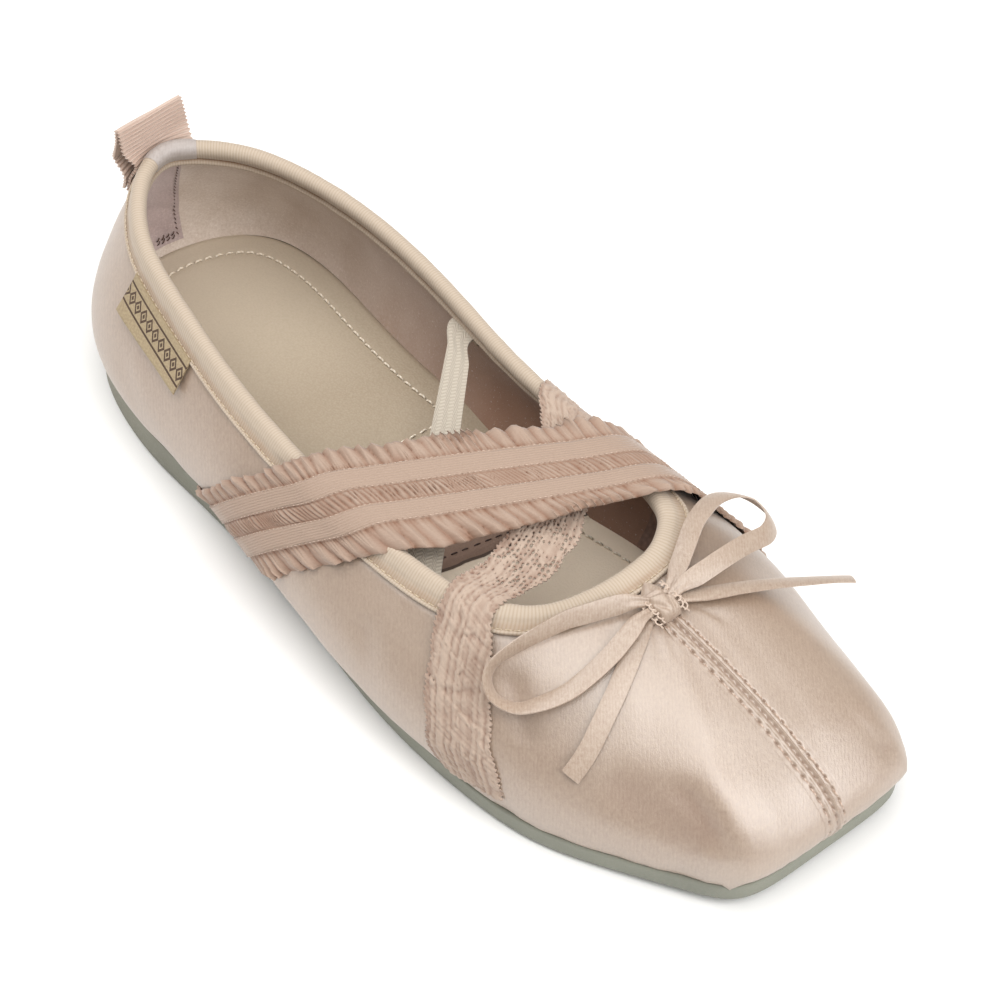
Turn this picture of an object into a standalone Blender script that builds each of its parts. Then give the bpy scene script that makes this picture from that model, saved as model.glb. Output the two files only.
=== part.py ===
"""Ballet flat for the right foot: satin upper on a rubber outsole, with three elastic straps,
a bound collar, a pull loop at the heel and a ribbon bow on the throat.

+Y runs to the toe, +X to the outer (lateral) side and +Z up. The origin is on the floor under the
middle of the heel. Sizes are in millimetres and turn into metres where a mesh is made.

The upper is described by ribs: profiles that stand round the shoe, from the back of the heel along
the lateral side to the toe and back along the medial side. A place on it is given by its rib number
and by how far down from the topline it lies, measured along the wall.
"""

import bpy
import numpy as np
from mathutils import Matrix

MM = 0.001
NAME = "ballet_flat"

# Driving dimensions
LAST_LENGTH = 250.2  # back of the heel to the toe, along the sole
BALL_WIDTH = 91.0  # width of the sole at the ball of the foot
BACK_HEIGHT = 54.5  # floor to the topline at the back of the heel
WALL = 2.0  # satin, foam and lining together
GAP = 0.3  # air between pieces that lie on each other
TAPE_GAP = 0.4  # the same under the binding and the label
STRAP_GAP = 0.5  # the same under the straps
HEEL_SEAT = 45.0  # the origin lies this far ahead of the back of the heel

SOLE_MARGIN = 0.6  # the outsole stands out past the foot line by this much
SOLE_ROUND = 1.1  # rounding of its lower edge
SOLE_SHOULDER = 0.8  # bevel of its upper edge
INSOLE_THICK = 1.8
INSOLE_INSETS = (0.6, 0.8)  # of its lower and upper edges, inside the wall
TAPE = 0.7  # thickness of the collar binding
TAPE_OUTER = 5.2  # its leg on the outside of the wall
TAPE_INNER = 3.0  # its leg on the inside
STRAP_THICK = 0.8
RIBBON_THICK = 0.6
BOW_WIDTH = 5.0
LOOP_WIDTH = 20.0
AROUND = 90  # steps round the shoe
UPPER_LEVELS = 12  # rings of the upper from its topline to its foot line
UPPER_CROWDING = 1.15  # above 1 the rings stand closer at the topline
WALL_STEPS = 81  # steps in which the length of a wall is measured

# One row for each rib. foot_x and top_x are in % of the ball width, foot_y and top_y in % of the
# length, top_z in % of the back height. rise and belly lift and swell the wall from the foot line,
# reach and fall lead it out and down from the topline, in mm.
RIB_COLUMNS = ("foot_x", "foot_y", "top_x", "top_y", "top_z", "rise", "belly", "reach", "fall")
RIBS = {
    "heel_back": (0.0, 1.6, -0.5, 4.8, 100.0, 12, 8.0, 5, 12),
    "heel_lateral_1": (16.5, 3.0, 9.5, 5.8, 97.8, 11, 8.0, 5, 12),
    "heel_lateral_2": (29.7, 7.0, 19.3, 9.3, 94.3, 9, 8.5, 4, 11),
    "heel_lateral_3": (37.9, 13.2, 26.2, 14.2, 90.6, 9, 9.5, 4, 10),
    "heel_lateral_4": (42.3, 21.6, 31.1, 21.6, 86.2, 9, 10.5, 4, 9),
    "waist_lateral_1": (43.5, 31.2, 36.0, 31.2, 81.5, 10, 12.5, 5, 8),
    "waist_lateral_2": (46.2, 41.2, 38.9, 41.2, 78.0, 10, 15.5, 6, 8),
    "waist_lateral_3": (50.5, 52.0, 40.7, 52.0, 76.7, 10, 16.5, 6, 8),
    "ball_lateral_1": (54.2, 62.0, 40.0, 61.8, 77.4, 11, 15.0, 7, 7),
    "ball_lateral_2": (54.7, 71.5, 35.2, 68.3, 78.7, 12, 11.0, 9, 5),
    "fore_lateral_1": (52.0, 79.9, 27.5, 71.8, 79.4, 14, 7.0, 13, 3),
    "fore_lateral_2": (44.8, 86.9, 19.8, 73.2, 79.8, 15, 6.0, 20, 2),
    "fore_lateral_3": (34.6, 94.3, 12.6, 73.8, 80.0, 16, 6.0, 27, 2),
    "corner_lateral": (27.0, 98.5, 7.9, 74.0, 80.0, 17, 9.0, 31, 2),
    "toe_lateral": (15.4, 99.7, 4.0, 74.1, 80.0, 18, 11.0, 31, 2),
    "toe_middle": (0.0, 100.0, 0.0, 74.1, 80.0, 18, 12.0, 31, 2),
    "toe_medial": (-15.4, 100.2, -4.2, 74.0, 80.0, 18, 12.0, 31, 2),
    "corner_medial": (-26.6, 99.4, -7.7, 73.8, 80.0, 17, 10.0, 31, 2),
    "fore_medial_3": (-32.7, 95.5, -11.5, 73.3, 80.0, 16, 6.0, 26, 2),
    "fore_medial_2": (-39.0, 87.7, -15.9, 72.3, 79.6, 14, 5.0, 19, 2.5),
    "fore_medial_1": (-43.3, 80.3, -20.1, 70.6, 79.3, 14, 6.0, 13, 3),
    "ball_medial_2": (-45.3, 71.9, -23.3, 66.9, 78.3, 12, 6.5, 9, 5),
    "ball_medial_1": (-43.5, 63.1, -25.5, 60.8, 77.1, 11, 6.0, 7, 7),
    "waist_medial_3": (-38.2, 53.2, -27.0, 53.2, 76.3, 10, 6.0, 5, 8),
    "waist_medial_2": (-33.0, 43.2, -28.9, 44.8, 76.7, 10, 5.5, 4, 8),
    "waist_medial_1": (-31.2, 33.6, -32.3, 35.2, 78.9, 10, 5.5, 3, 8),
    "heel_medial_4": (-33.3, 24.4, -33.0, 25.6, 83.3, 10, 6.0, 3, 9),
    "heel_medial_3": (-35.7, 16.0, -29.5, 17.2, 88.1, 10, 7.0, 4, 10),
    "heel_medial_2": (-32.4, 8.0, -21.4, 10.4, 93.6, 10, 8.0, 5, 11),
    "heel_medial_1": (-18.7, 3.2, -10.4, 6.4, 97.8, 11, 8.0, 5, 12),
}
RIB_COUNT = len(RIBS)

# Along the length in %, height of the outsole's top above the floor
BED = (
    (0, 10.3), (20, 10.3), (38, 10.0), (50, 8.9), (61, 7.3),
    (72, 6.2), (81, 5.9), (89, 6.3), (95, 7.1), (101, 8.6),
)
# Along the length in %, height of the tread: it lifts at the arch and springs up at the toe
TREAD = (
    (-1, 0.8), (5, 0), (32, 0), (38, 0.5), (44, 1.2), (50, 0.7),
    (57, 0), (80, 0), (88, 0.6), (95, 1.7), (101, 3.0),
)

# Straps, by the ribs of their rear and front edges at the lateral foot, at the topline on the
# lateral and the medial side, and at the medial foot, which runs straight down.
RUFFLE_STRAP = ((4.85, 6.00), (6.20, 7.47), (22.35, 20.42), (21.90, 20.57))
LACE_STRAP = ((8.98, 9.83), (8.35, 9.16), (23.25, 22.28), (23.70, 22.93))
ELASTIC_STRAP = ((7.70, 8.15), (24.75, 24.45))  # its tops alone: it is sewn inside the collar
ELASTIC_TUCK = ((9.0, 0.1), (5.5, 0.1), (4.0, 0.6), (3.8, 1.6))  # down the wall and off the lining
ELASTIC_STEPS = 8
RUFFLE_ARCH = (4.0, 2.2)  # rise of its rear and front edges over the foot opening
LACE_ARCH = (-0.5, -1.6)
RUFFLE_DRIFT = 3.0  # how far the span over the opening bows towards the toe
LACE_DRIFT = 9.8
RUFFLE_OVER_LACE = 1.2  # extra height where the ruffle crosses the lace at the medial topline
RUFFLE_STEPS = (14, 20)  # up a wall and over the opening
LACE_STEPS = (7, 8)
RIM_TURNS = (0.45, 1)  # where a strap touches the binding's round top: 0 is its side, 1 its crest
STRAP_END = 1.6  # a strap stops this far above the foot line
SEAT_CLEAR = 1.0  # a strap is down on the satin this far below the climb to the binding
SEAT_CLIMB = 6.0  # length of that climb
RUFFLE_LINES = (0, 0.2, 0.42, 0.58, 0.8, 1)  # edges of its frills, flat bands and gathers
LACE_LINES = (0, 0.25, 0.5, 0.75, 1)
GATHER = 0.4  # height of the gathers
FRILL = 0.9  # height of the ruffle's waves
FRILL_STEPS = 4  # steps in one wave

# Bow ribbons, from the knot: rib, distance down from the topline, clearance under the lower edge
# and lean off the wall in degrees
BOW_LOOP_LATERAL = (
    (13.15, 7.8, 1.7, 35), (12.4, 7.0, 1.5, 42), (11.3, 5.4, 1.4, 45), (10.6, 4.9, 1.4, 50),
    (10.0, 6.8, 1.3, 60), (9.65, 9.4, 0.7, 70), (9.45, 12.8, 0.5, 80), (9.45, 16.2, 0.5, 85),
    (9.6, 19.6, 0.5, 78), (9.9, 21.6, 0.5, 60), (10.2, 21.2, 0.5, 42), (10.6, 19.9, 0.5, 28),
    (11.05, 17.6, 0.6, 20), (11.55, 15.5, 1.0, 15), (12.1, 13.4, 1.6, 15), (12.85, 11.6, 2.1, 15),
)
BOW_LOOP_MEDIAL = (
    (15.7, 7.6, 1.7, 25), (17.2, 5.8, 2.0, 30), (18.5, 4.9, 2.6, 38), (19.3, 5.6, 3.2, 45),
    (19.85, 8.4, 3.4, 58), (20.1, 13.4, 4.6, 70), (20.0, 18.4, 5.6, 80), (19.6, 21.8, 5.4, 78),
    (19.1, 21.0, 4.6, 60), (18.5, 17.6, 3.6, 42), (17.6, 14.0, 3.0, 30), (16.6, 11.4, 2.4, 25),
    (15.75, 10.0, 2.2, 25),
)
BOW_TAIL_LATERAL = (
    (13.1, 12.4, 0.5, 0), (12.4, 15.6, 0.5, 0), (11.85, 19.8, 0.5, 0), (11.44, 24.9, 0.5, 4),
    (11.17, 29.4, 0.5, 6), (10.94, 34.5, 0.5, 8), (10.71, 39.0, 0.6, 10),
)
BOW_TAIL_MEDIAL = (
    (15.6, 12.4, 0.5, 15), (16.4, 15.0, 0.8, 20), (17.2, 19.0, 1.8, 32), (17.9, 25.0, 3.4, 46),
    (18.35, 32.0, 6.2, 60), (18.6, 40.0, 11.0, 72),
)
KNOT_RIB, KNOT_DOWN = 14.4, 9.9
KNOT_SIZE = (9.6, 8.4, 4.6)  # across, along and thick
KNOT_CAGE = 1.2  # its cube is this much larger, because the rounding draws it in

# Pull loop: y and height of its free part seen from the side, then down the wall and off it where
# it is sewn, with the inner layer first
LOOP_FREE = (
    (10.3, 57.8), (10.0, 61.0), (8.7, 63.5), (6.7, 64.4),
    (4.8, 63.3), (3.8, 60.8), (3.6, 57.2), (4.0, 53.4),
)
LOOP_INNER = ((10.5, 0.45), (6.2, 1.4), (1.2, 1.45))
LOOP_OUTER = ((7.0, 3.3), (10.5, 2.3))
LOOP_REACH = 0.82  # half the ribs that its foot spans
LOOP_LINES = (-1, -0.5, 0, 0.5, 1)

LABEL_RIBS = (3.05, 4.50)
LABEL_HEIGHT = (10.5, 8.6)  # at its rear and front ends
LABEL_DROP = 0.35  # its top lies this far below the binding
LABEL_LIFT = 0.6  # its lower edge stands off by this much more

COLOURS = {
    "blush_satin": ((0.62, 0.50, 0.42), 0.38),
    "sole_rubber": ((0.30, 0.31, 0.25), 0.75),
    "insole_leather": ((0.50, 0.39, 0.26), 0.6),
    "collar_tape": ((0.66, 0.52, 0.36), 0.8),
    "pink_grosgrain": ((0.66, 0.45, 0.36), 0.6),
    "woven_label": ((0.45, 0.36, 0.20), 0.8),
    "ruffle_elastic": ((0.62, 0.41, 0.32), 0.75),
    "stretch_lace": ((0.62, 0.42, 0.33), 0.85),
    "ivory_elastic": ((0.66, 0.59, 0.48), 0.8),
    "bow_ribbon": ((0.74, 0.64, 0.53), 0.4),
}


def smooth(x, rows):
    """Smooth curve through the rows, whose first column rises; gives the other columns at x."""
    rows = np.array(rows, float)
    knots, values = rows[:, 0], rows[:, 1:]
    slopes = np.gradient(values, knots, axis=0)
    x = np.clip(np.asarray(x, float), knots[0], knots[-1])
    i = np.clip(np.searchsorted(knots, x) - 1, 0, len(knots) - 2)
    step = knots[i + 1] - knots[i]
    t = ((x - knots[i]) / step)[..., None]
    step = step[..., None]
    held = (1 + 2 * t) * (1 - t) ** 2 * values[i] + t * t * (3 - 2 * t) * values[i + 1]
    turned = t * (1 - t) ** 2 * slopes[i] * step - t * t * (1 - t) * slopes[i + 1] * step
    return held + turned


def bed_height(y):
    """Height of the outsole's top at a place along the shoe."""
    return smooth(np.asarray(y) / LAST_LENGTH * 100, BED)[..., 0]


def tread_height(y):
    """Height of the tread above the floor: nothing at heel and ball, some at the arch and toe."""
    return np.maximum(smooth(np.asarray(y) / LAST_LENGTH * 100, TREAD)[..., 0], 0)


def closed_spline(values):
    """Cubic spline through evenly spaced values that joins up with its own start."""
    count = len(values)
    system = 4 * np.eye(count) + np.roll(np.eye(count), 1, 0) + np.roll(np.eye(count), -1, 0)
    bends = np.linalg.solve(system, 6 * (np.roll(values, -1, 0) - 2 * values + np.roll(values, 1, 0)))

    def at(rib):
        rib = np.asarray(rib, float) % count
        i = np.floor(rib).astype(int) % count
        j = (i + 1) % count
        t = (rib - np.floor(rib))[..., None]
        s = 1 - t
        return values[i] * s + values[j] * t + ((s**3 - s) * bends[i] + (t**3 - t) * bends[j]) / 6

    return at


def rib_splines():
    """The foot line in plan, the topline, and the four shape values, all as functions of the rib."""
    scale = {"x": BALL_WIDTH / 100, "y": LAST_LENGTH / 100, "z": BACK_HEIGHT / 100}
    table = dict(zip(RIB_COLUMNS, np.array(list(RIBS.values()), float).T))
    foot = [table["foot_" + axis] * scale[axis] for axis in "xy"]
    top = [table["top_" + axis] * scale[axis] for axis in "xyz"]
    shape = [table[name] for name in ("rise", "belly", "reach", "fall")]
    return [closed_spline(np.column_stack(columns)) for columns in (foot, top, shape)]


FOOT, TOP, SHAPE = rib_splines()
UP = np.array([0.0, 0.0, 1.0])


def unit(vectors):
    return vectors / np.linalg.norm(vectors, axis=-1, keepdims=True)


def plan_outward(line, rib):
    """Level direction pointing out of the shoe, square to a line round it."""
    step = line(rib + 0.01)[..., :2] - line(rib - 0.01)[..., :2]
    flat = np.stack([step[..., 1], -step[..., 0], 0 * step[..., 0]], -1)
    return unit(flat)


def foot_point(rib):
    plan = FOOT(rib)
    return np.concatenate([plan, bed_height(plan[..., 1:2]) + GAP], -1)


def profile(rib, v):
    """Outer face of the upper: v is 0 at the foot line and 1 at the topline."""
    rib, v = np.broadcast_arrays(np.asarray(rib, float), np.asarray(v, float))
    foot, top, shape = foot_point(rib), TOP(rib), SHAPE(rib)
    low = foot + plan_outward(FOOT, rib) * shape[..., 1:2] + UP * shape[..., 0:1]
    high = top + plan_outward(TOP, rib) * shape[..., 2:3] - UP * shape[..., 3:4]
    v = v[..., None]
    w = 1 - v
    return w**3 * foot + 3 * w * w * v * low + 3 * w * v * v * high + v**3 * top


def wall_frame(rib, down):
    """Point on the outer face, the direction up the wall and the direction out of it."""
    rib, down = np.broadcast_arrays(np.asarray(rib, float), np.asarray(down, float))
    shape = rib.shape
    rib, down = rib.ravel(), down.ravel()
    v = np.linspace(1, 0, WALL_STEPS)
    line = profile(rib[:, None], v[None, :])
    run = np.linalg.norm(np.diff(line, axis=1), axis=-1).cumsum(1)
    run = np.concatenate([np.zeros((len(rib), 1)), run], 1)
    at = np.array([np.interp(d, r, v) for d, r in zip(down, run)])
    small = 0.002
    point = profile(rib, at)
    up = unit(profile(rib, np.minimum(at + small, 1)) - profile(rib, np.maximum(at - small, 0)))
    along = profile(rib + small, at) - profile(rib - small, at)
    out = unit(np.cross(along, up))
    point = point + up * np.maximum(-down, 0)[:, None]
    return [part.reshape(shape + (3,)) for part in (point, up, out)]


def wall(rib, down, off=0.0):
    """Point at a distance down from the topline and off the outer face."""
    point, _, out = wall_frame(rib, down)
    return point + out * np.asarray(off, float)[..., None]


def wall_length(rib):
    """Length of the wall from the topline to the foot line."""
    v = np.linspace(0, 1, WALL_STEPS)
    line = profile(np.asarray(rib, float)[..., None], v)
    return np.linalg.norm(np.diff(line, axis=-2), axis=-1).sum(-1)


def rim_point(rib, turn, radius):
    """Point round the top edge: turn 0 lies straight out from it and 1 straight above it."""
    point, _, out = wall_frame(rib, 0)
    way = unit(out * (1 - turn) + UP * turn)
    return point - out * WALL / 2 + way * radius


def new_collection(name):
    collection = bpy.data.collections.new(name)
    bpy.context.scene.collection.children.link(collection)
    return collection


def new_material(name):
    colour, roughness = COLOURS[name]
    material = bpy.data.materials.new(name)
    material.use_nodes = True
    shader = material.node_tree.nodes["Principled BSDF"]
    shader.inputs["Base Color"].default_value = (*colour, 1)
    shader.inputs["Roughness"].default_value = roughness
    shader.inputs["Metallic"].default_value = 0
    material.diffuse_color = (*colour, 1)
    return material


def to_world(points):
    """Millimetres from the back of the heel to metres from the origin."""
    return (np.asarray(points) - (0, HEEL_SEAT, 0)) * MM


def new_object(name, points, faces, material):
    mesh = bpy.data.meshes.new(name)
    mesh.from_pydata(to_world(points).tolist(), [], faces)
    mesh.materials.append(MATERIALS[material])
    mesh.shade_smooth()
    mesh.set_sharp_from_angle(angle=np.radians(40))
    mesh.update()
    piece = bpy.data.objects.new(name, mesh)
    PART.objects.link(piece)
    return piece


def sheet(name, grid, thick, material, ring=False, side=1):
    """Cloth-like piece: a grid of points, thickened to the side it faces (1) or to its back (-1).

    The grid's rows run round the shoe from lateral to medial and its columns run down."""
    rows, columns = grid.shape[:2]
    faces = []
    for i in range(rows if ring else rows - 1):
        for j in range(columns - 1):
            a, b = i * columns + j, (i + 1) % rows * columns + j
            faces.append((a, a + 1, b + 1, b))
    piece = new_object(name, grid.reshape(-1, 3), faces, material)
    solid = piece.modifiers.new("thickness", "SOLIDIFY")
    solid.thickness = thick * MM
    solid.offset = side
    return piece


def stack(name, rings, material):
    """Solid from rings round the shoe, bottom ring first, closed by strips from side to side."""
    count = len(rings[0])
    faces = []
    for level in range(len(rings) - 1):
        low, high = level * count, (level + 1) * count
        for i in range(count):
            j = (i + 1) % count
            faces.append((low + i, low + j, high + j, high + i))
    top = (len(rings) - 1) * count
    for i in range(count // 2):
        strip = dict.fromkeys((i, i + 1, count - i - 1, (count - i) % count))
        faces.append([top + k for k in strip])
        faces.append(list(reversed(strip)))
    return new_object(name, np.concatenate(rings), faces, material)


def ring_ribs():
    return np.arange(AROUND) * RIB_COUNT / AROUND


def sole_ring(rib, margin, height, lift=0.0):
    """Ring at a margin outside the foot line, at a height that follows the length."""
    ring = foot_point(rib) + plan_outward(FOOT, rib) * margin
    ring[:, 2] = height(ring[:, 1]) + lift
    return ring


def build_sole():
    rib = ring_ribs()
    stack("outsole", [
        sole_ring(rib, SOLE_MARGIN - SOLE_ROUND, tread_height),
        sole_ring(rib, SOLE_MARGIN, tread_height, SOLE_ROUND),
        sole_ring(rib, SOLE_MARGIN, bed_height, -SOLE_SHOULDER),
        sole_ring(rib, SOLE_MARGIN - SOLE_SHOULDER, bed_height),
    ], "sole_rubber")
    rings = []
    for lift, inset in zip((GAP, GAP + INSOLE_THICK), INSOLE_INSETS):
        ring = wall(rib, wall_length(rib), -WALL - inset)
        ring[:, 2] = bed_height(ring[:, 1]) + lift
        rings.append(ring)
    stack("insole", rings, "insole_leather")


def build_upper():
    rib = ring_ribs()[:, None]
    v = 1 - np.linspace(0, 1, UPPER_LEVELS) ** UPPER_CROWDING
    sheet("upper", profile(rib, v[None, :]), WALL, "blush_satin", ring=True, side=-1)


def build_binding():
    """Tape folded over the top edge: an inner leg, a half round over the edge and an outer leg."""
    rib = ring_ribs()
    point, up, out = wall_frame(rib, 0)
    centre = point - out * WALL / 2
    radius = WALL / 2 + TAPE_GAP
    columns = [wall(rib, TAPE_INNER, -WALL - STRAP_GAP)]
    for turn in np.radians((180, 135, 90, 45, 0)):
        columns.append(centre + radius * (np.cos(turn) * out + np.sin(turn) * up))
    columns.append(wall(rib, TAPE_OUTER, TAPE_GAP))
    sheet("collar_binding", np.stack(columns, 1), TAPE, "collar_tape", ring=True)


def seat(down, extra=0.0):
    """How far off the wall a strap lies: on the satin low down, over the binding near the top."""
    over = np.clip((TAPE_OUTER + SEAT_CLEAR + SEAT_CLIMB - down) / SEAT_CLIMB, 0, 1)
    over = over * over * (3 - 2 * over)
    return STRAP_GAP + over * (TAPE + GAP + extra)


def strap_side(foot, top, extra, steps):
    """Run of one strand up a wall, from above the foot line to over the top edge."""
    length = float(wall_length(top)) - STRAP_END
    points = []
    for share in np.linspace(1, 0, steps):
        down = length * share
        points.append(wall(top + (foot - top) * share, down, seat(down, extra)))
    radius = WALL / 2 + TAPE_GAP + TAPE + GAP + extra
    points += [rim_point(top, turn, radius) for turn in RIM_TURNS]
    return points


def between(start, end, steps, arch=0.0, drift=0.0):
    """Points from one side's last point to the other's, up by arch and forward by drift half way."""
    points = []
    for t in np.linspace(0, 1, steps + 2)[1:-1]:
        points.append(start * (1 - t) + end * t + np.array((0.0, drift, arch)) * 4 * t * (1 - t))
    return points


def strap_grid(ribs, lines, arch, drift, extra, steps):
    """Strands side by side, each up the lateral wall, over the opening and down the medial wall."""
    rows = []
    for share in lines:
        lateral_foot, lateral_top, medial_top, medial_foot = [
            rear + (front - rear) * share for rear, front in ribs
        ]
        lateral = strap_side(lateral_foot, lateral_top, 0, steps[0])
        medial = strap_side(medial_foot, medial_top, extra, steps[0])
        rise = arch[0] + (arch[1] - arch[0]) * share
        span = between(lateral[-1], medial[-1], steps[1], rise, drift)
        rows.append(np.array(lateral + span + medial[::-1]))
    return np.stack(rows)[:, ::-1]


def grid_normals(grid):
    across = np.gradient(grid, axis=0)
    along = np.gradient(grid, axis=1)
    return unit(np.cross(along, across))


def build_ruffle_strap():
    """Topmost strap: gathered along its middle, with a waved frill along each edge."""
    grid = strap_grid(RUFFLE_STRAP, RUFFLE_LINES, RUFFLE_ARCH, RUFFLE_DRIFT, RUFFLE_OVER_LACE,
                      RUFFLE_STEPS)
    wave = 0.5 - 0.5 * np.cos(np.arange(grid.shape[1]) * 2 * np.pi / FRILL_STEPS)
    lift = np.zeros(grid.shape[:2])
    lift[0] = FRILL * wave
    lift[-1] = FRILL * (1 - wave)
    lift[2:4] = GATHER
    grid = grid + grid_normals(grid) * lift[..., None]
    sheet("strap_ruffle", grid, STRAP_THICK, "ruffle_elastic")


def build_lace_strap():
    grid = strap_grid(LACE_STRAP, LACE_LINES, LACE_ARCH, LACE_DRIFT, 0, LACE_STEPS)
    sheet("strap_lace", grid, STRAP_THICK, "stretch_lace")


def build_elastic_strap():
    """Narrow strap sewn inside the collar at both ends, under the other two."""
    rows = []
    for share in (0, 0.5, 1):
        sides = []
        for rear, front in ELASTIC_STRAP:
            rib = rear + (front - rear) * share
            sides.append([wall(rib, down, -WALL - GAP - off) for down, off in ELASTIC_TUCK])
        lateral, medial = sides
        span = between(lateral[-1], medial[-1], ELASTIC_STEPS)
        rows.append(np.array(lateral + span + medial[::-1]))
    sheet("strap_elastic", np.stack(rows), STRAP_THICK, "ivory_elastic")


def build_heel_loop():
    """Ribbon folded into a loop, both ends sewn to the back over the binding."""
    rows = []
    for share in LOOP_LINES:
        rib = share * LOOP_REACH
        across = share * LOOP_WIDTH / 2
        inner = [wall(rib, down, off) for down, off in LOOP_INNER]
        free = [np.array((across, y, z)) for y, z in LOOP_FREE]
        outer = [wall(rib, down, off) for down, off in LOOP_OUTER]
        rows.append(np.array(inner + free + outer))
    sheet("heel_pull_loop", np.stack(rows), STRAP_THICK, "pink_grosgrain", side=-1)


def build_label():
    """Folded label on the lateral side, its top edge under the binding."""
    rows = []
    for share in np.linspace(0, 1, 7):
        rib = LABEL_RIBS[0] + (LABEL_RIBS[1] - LABEL_RIBS[0]) * share
        height = LABEL_HEIGHT[0] + (LABEL_HEIGHT[1] - LABEL_HEIGHT[0]) * share
        column = []
        for part in (0, 0.5, 1):
            down = TAPE_OUTER + LABEL_DROP + height * part
            column.append(wall(rib, down, TAPE_GAP + LABEL_LIFT * part))
        rows.append(column)
    sheet("side_label", np.array(rows), STRAP_THICK, "woven_label")


def ribbon_grid(route, width, steps):
    """Two edges of a ribbon that follows a route over the wall and leans outward from its loop."""
    rows = np.array(route, float)
    at = np.linspace(0, len(rows) - 1, steps)
    rib, down, clear, lean = smooth(at, np.column_stack([np.arange(len(rows)), rows])).T
    lean = np.radians(lean)
    lift = clear + RIBBON_THICK / 2 + width / 2 * np.abs(np.sin(lean))
    point, _, out = wall_frame(rib, down)
    centre = point + out * lift[:, None]
    along = unit(np.gradient(centre, axis=0))
    side = unit(np.cross(out, along))
    reach = (np.sin(lean)[:, None] * out - np.cos(lean)[:, None] * side) * width / 2
    return np.stack([centre - reach, centre + reach])


def build_bow():
    """Two loops and two tails of ribbon, which meet under a rounded knot on the throat."""
    routes = {
        "bow_loop_lateral": BOW_LOOP_LATERAL,
        "bow_loop_medial": BOW_LOOP_MEDIAL,
        "bow_tail_lateral": BOW_TAIL_LATERAL,
        "bow_tail_medial": BOW_TAIL_MEDIAL,
    }
    for name, route in routes.items():
        grid = ribbon_grid(route, BOW_WIDTH, 2 * len(route) - 1)
        sheet(name, grid, RIBBON_THICK, "bow_ribbon", side=0)
    build_knot()


def build_knot():
    point, up, out = wall_frame(KNOT_RIB, KNOT_DOWN)
    centre = to_world(point + out * (KNOT_SIZE[2] / 2 + GAP))
    across = np.cross(up, out)
    bpy.ops.mesh.primitive_cube_add(size=1)
    knot = bpy.context.object
    knot.name = knot.data.name = "bow_knot"
    knot.data.materials.append(MATERIALS["bow_ribbon"])
    knot.data.transform(Matrix.Diagonal((*[size * KNOT_CAGE * MM for size in KNOT_SIZE], 1)))
    knot.data.shade_smooth()
    turn = Matrix(np.column_stack([across, up, out]).tolist()).to_4x4()
    knot.matrix_world = Matrix.Translation(centre) @ turn
    rounding = knot.modifiers.new("rounding", "SUBSURF")
    rounding.levels = rounding.render_levels = 2
    for collection in knot.users_collection:
        collection.objects.unlink(knot)
    PART.objects.link(knot)


for old in list(bpy.data.objects):
    bpy.data.objects.remove(old)
PART = new_collection(NAME)
MATERIALS = {name: new_material(name) for name in COLOURS}
build_sole()
build_upper()
build_binding()
build_ruffle_strap()
build_lace_strap()
build_elastic_strap()
build_heel_loop()
build_label()
build_bow()
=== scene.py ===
"""Looks of the ballet flat for the right foot: satin upper, bound collar, three elastic straps,
ribbon bow, pull loop, side label, insole and rubber outsole, on a pale floor in soft studio light.

Places are in millimetres from the back of the heel, with +Y to the toe, +X to the outer side and
+Z up, and turn into metres from the origin where a mesh is made. A place on the upper is its rib
number and how far down from the topline it lies, measured along the wall.
"""

import bpy
import numpy as np
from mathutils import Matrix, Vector


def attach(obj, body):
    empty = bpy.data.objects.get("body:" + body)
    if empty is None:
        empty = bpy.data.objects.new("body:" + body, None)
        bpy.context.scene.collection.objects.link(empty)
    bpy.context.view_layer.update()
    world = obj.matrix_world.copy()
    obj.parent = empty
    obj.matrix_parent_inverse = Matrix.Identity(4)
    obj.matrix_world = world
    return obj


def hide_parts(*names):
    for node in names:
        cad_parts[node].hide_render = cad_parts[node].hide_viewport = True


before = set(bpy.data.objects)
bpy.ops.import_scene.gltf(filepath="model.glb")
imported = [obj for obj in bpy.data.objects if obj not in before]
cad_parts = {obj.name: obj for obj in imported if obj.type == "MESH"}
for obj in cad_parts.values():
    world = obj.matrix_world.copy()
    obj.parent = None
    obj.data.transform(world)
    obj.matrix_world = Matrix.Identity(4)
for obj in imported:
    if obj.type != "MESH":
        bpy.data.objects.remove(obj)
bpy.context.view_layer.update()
MM = 0.001

# --- The last and the routes of the trims, mostly as the solids have them ----------------------

LAST_LENGTH = 250.2
BALL_WIDTH = 91.0
BACK_HEIGHT = 54.5
HEEL_SEAT = 45.0
WALL = 2.0  # thickness of the upper's wall
GAP = 0.3  # clearance between neighbours, and under the binding and the straps
TAPE_GAP = 0.4
STRAP_GAP = 0.5
TAPE = 0.7  # thickness of the binding, and how far down outside it reaches
TAPE_OUTER = 5.2
STRAP_THICK = 0.8
RIBBON_THICK = 0.6
BOW_WIDTH = 4.7  # the solids have 5
LOOP_WIDTH = 20.0
INSOLE_THICK = 1.8
WALL_STEPS = 121  # points down a wall to measure it by

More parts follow.
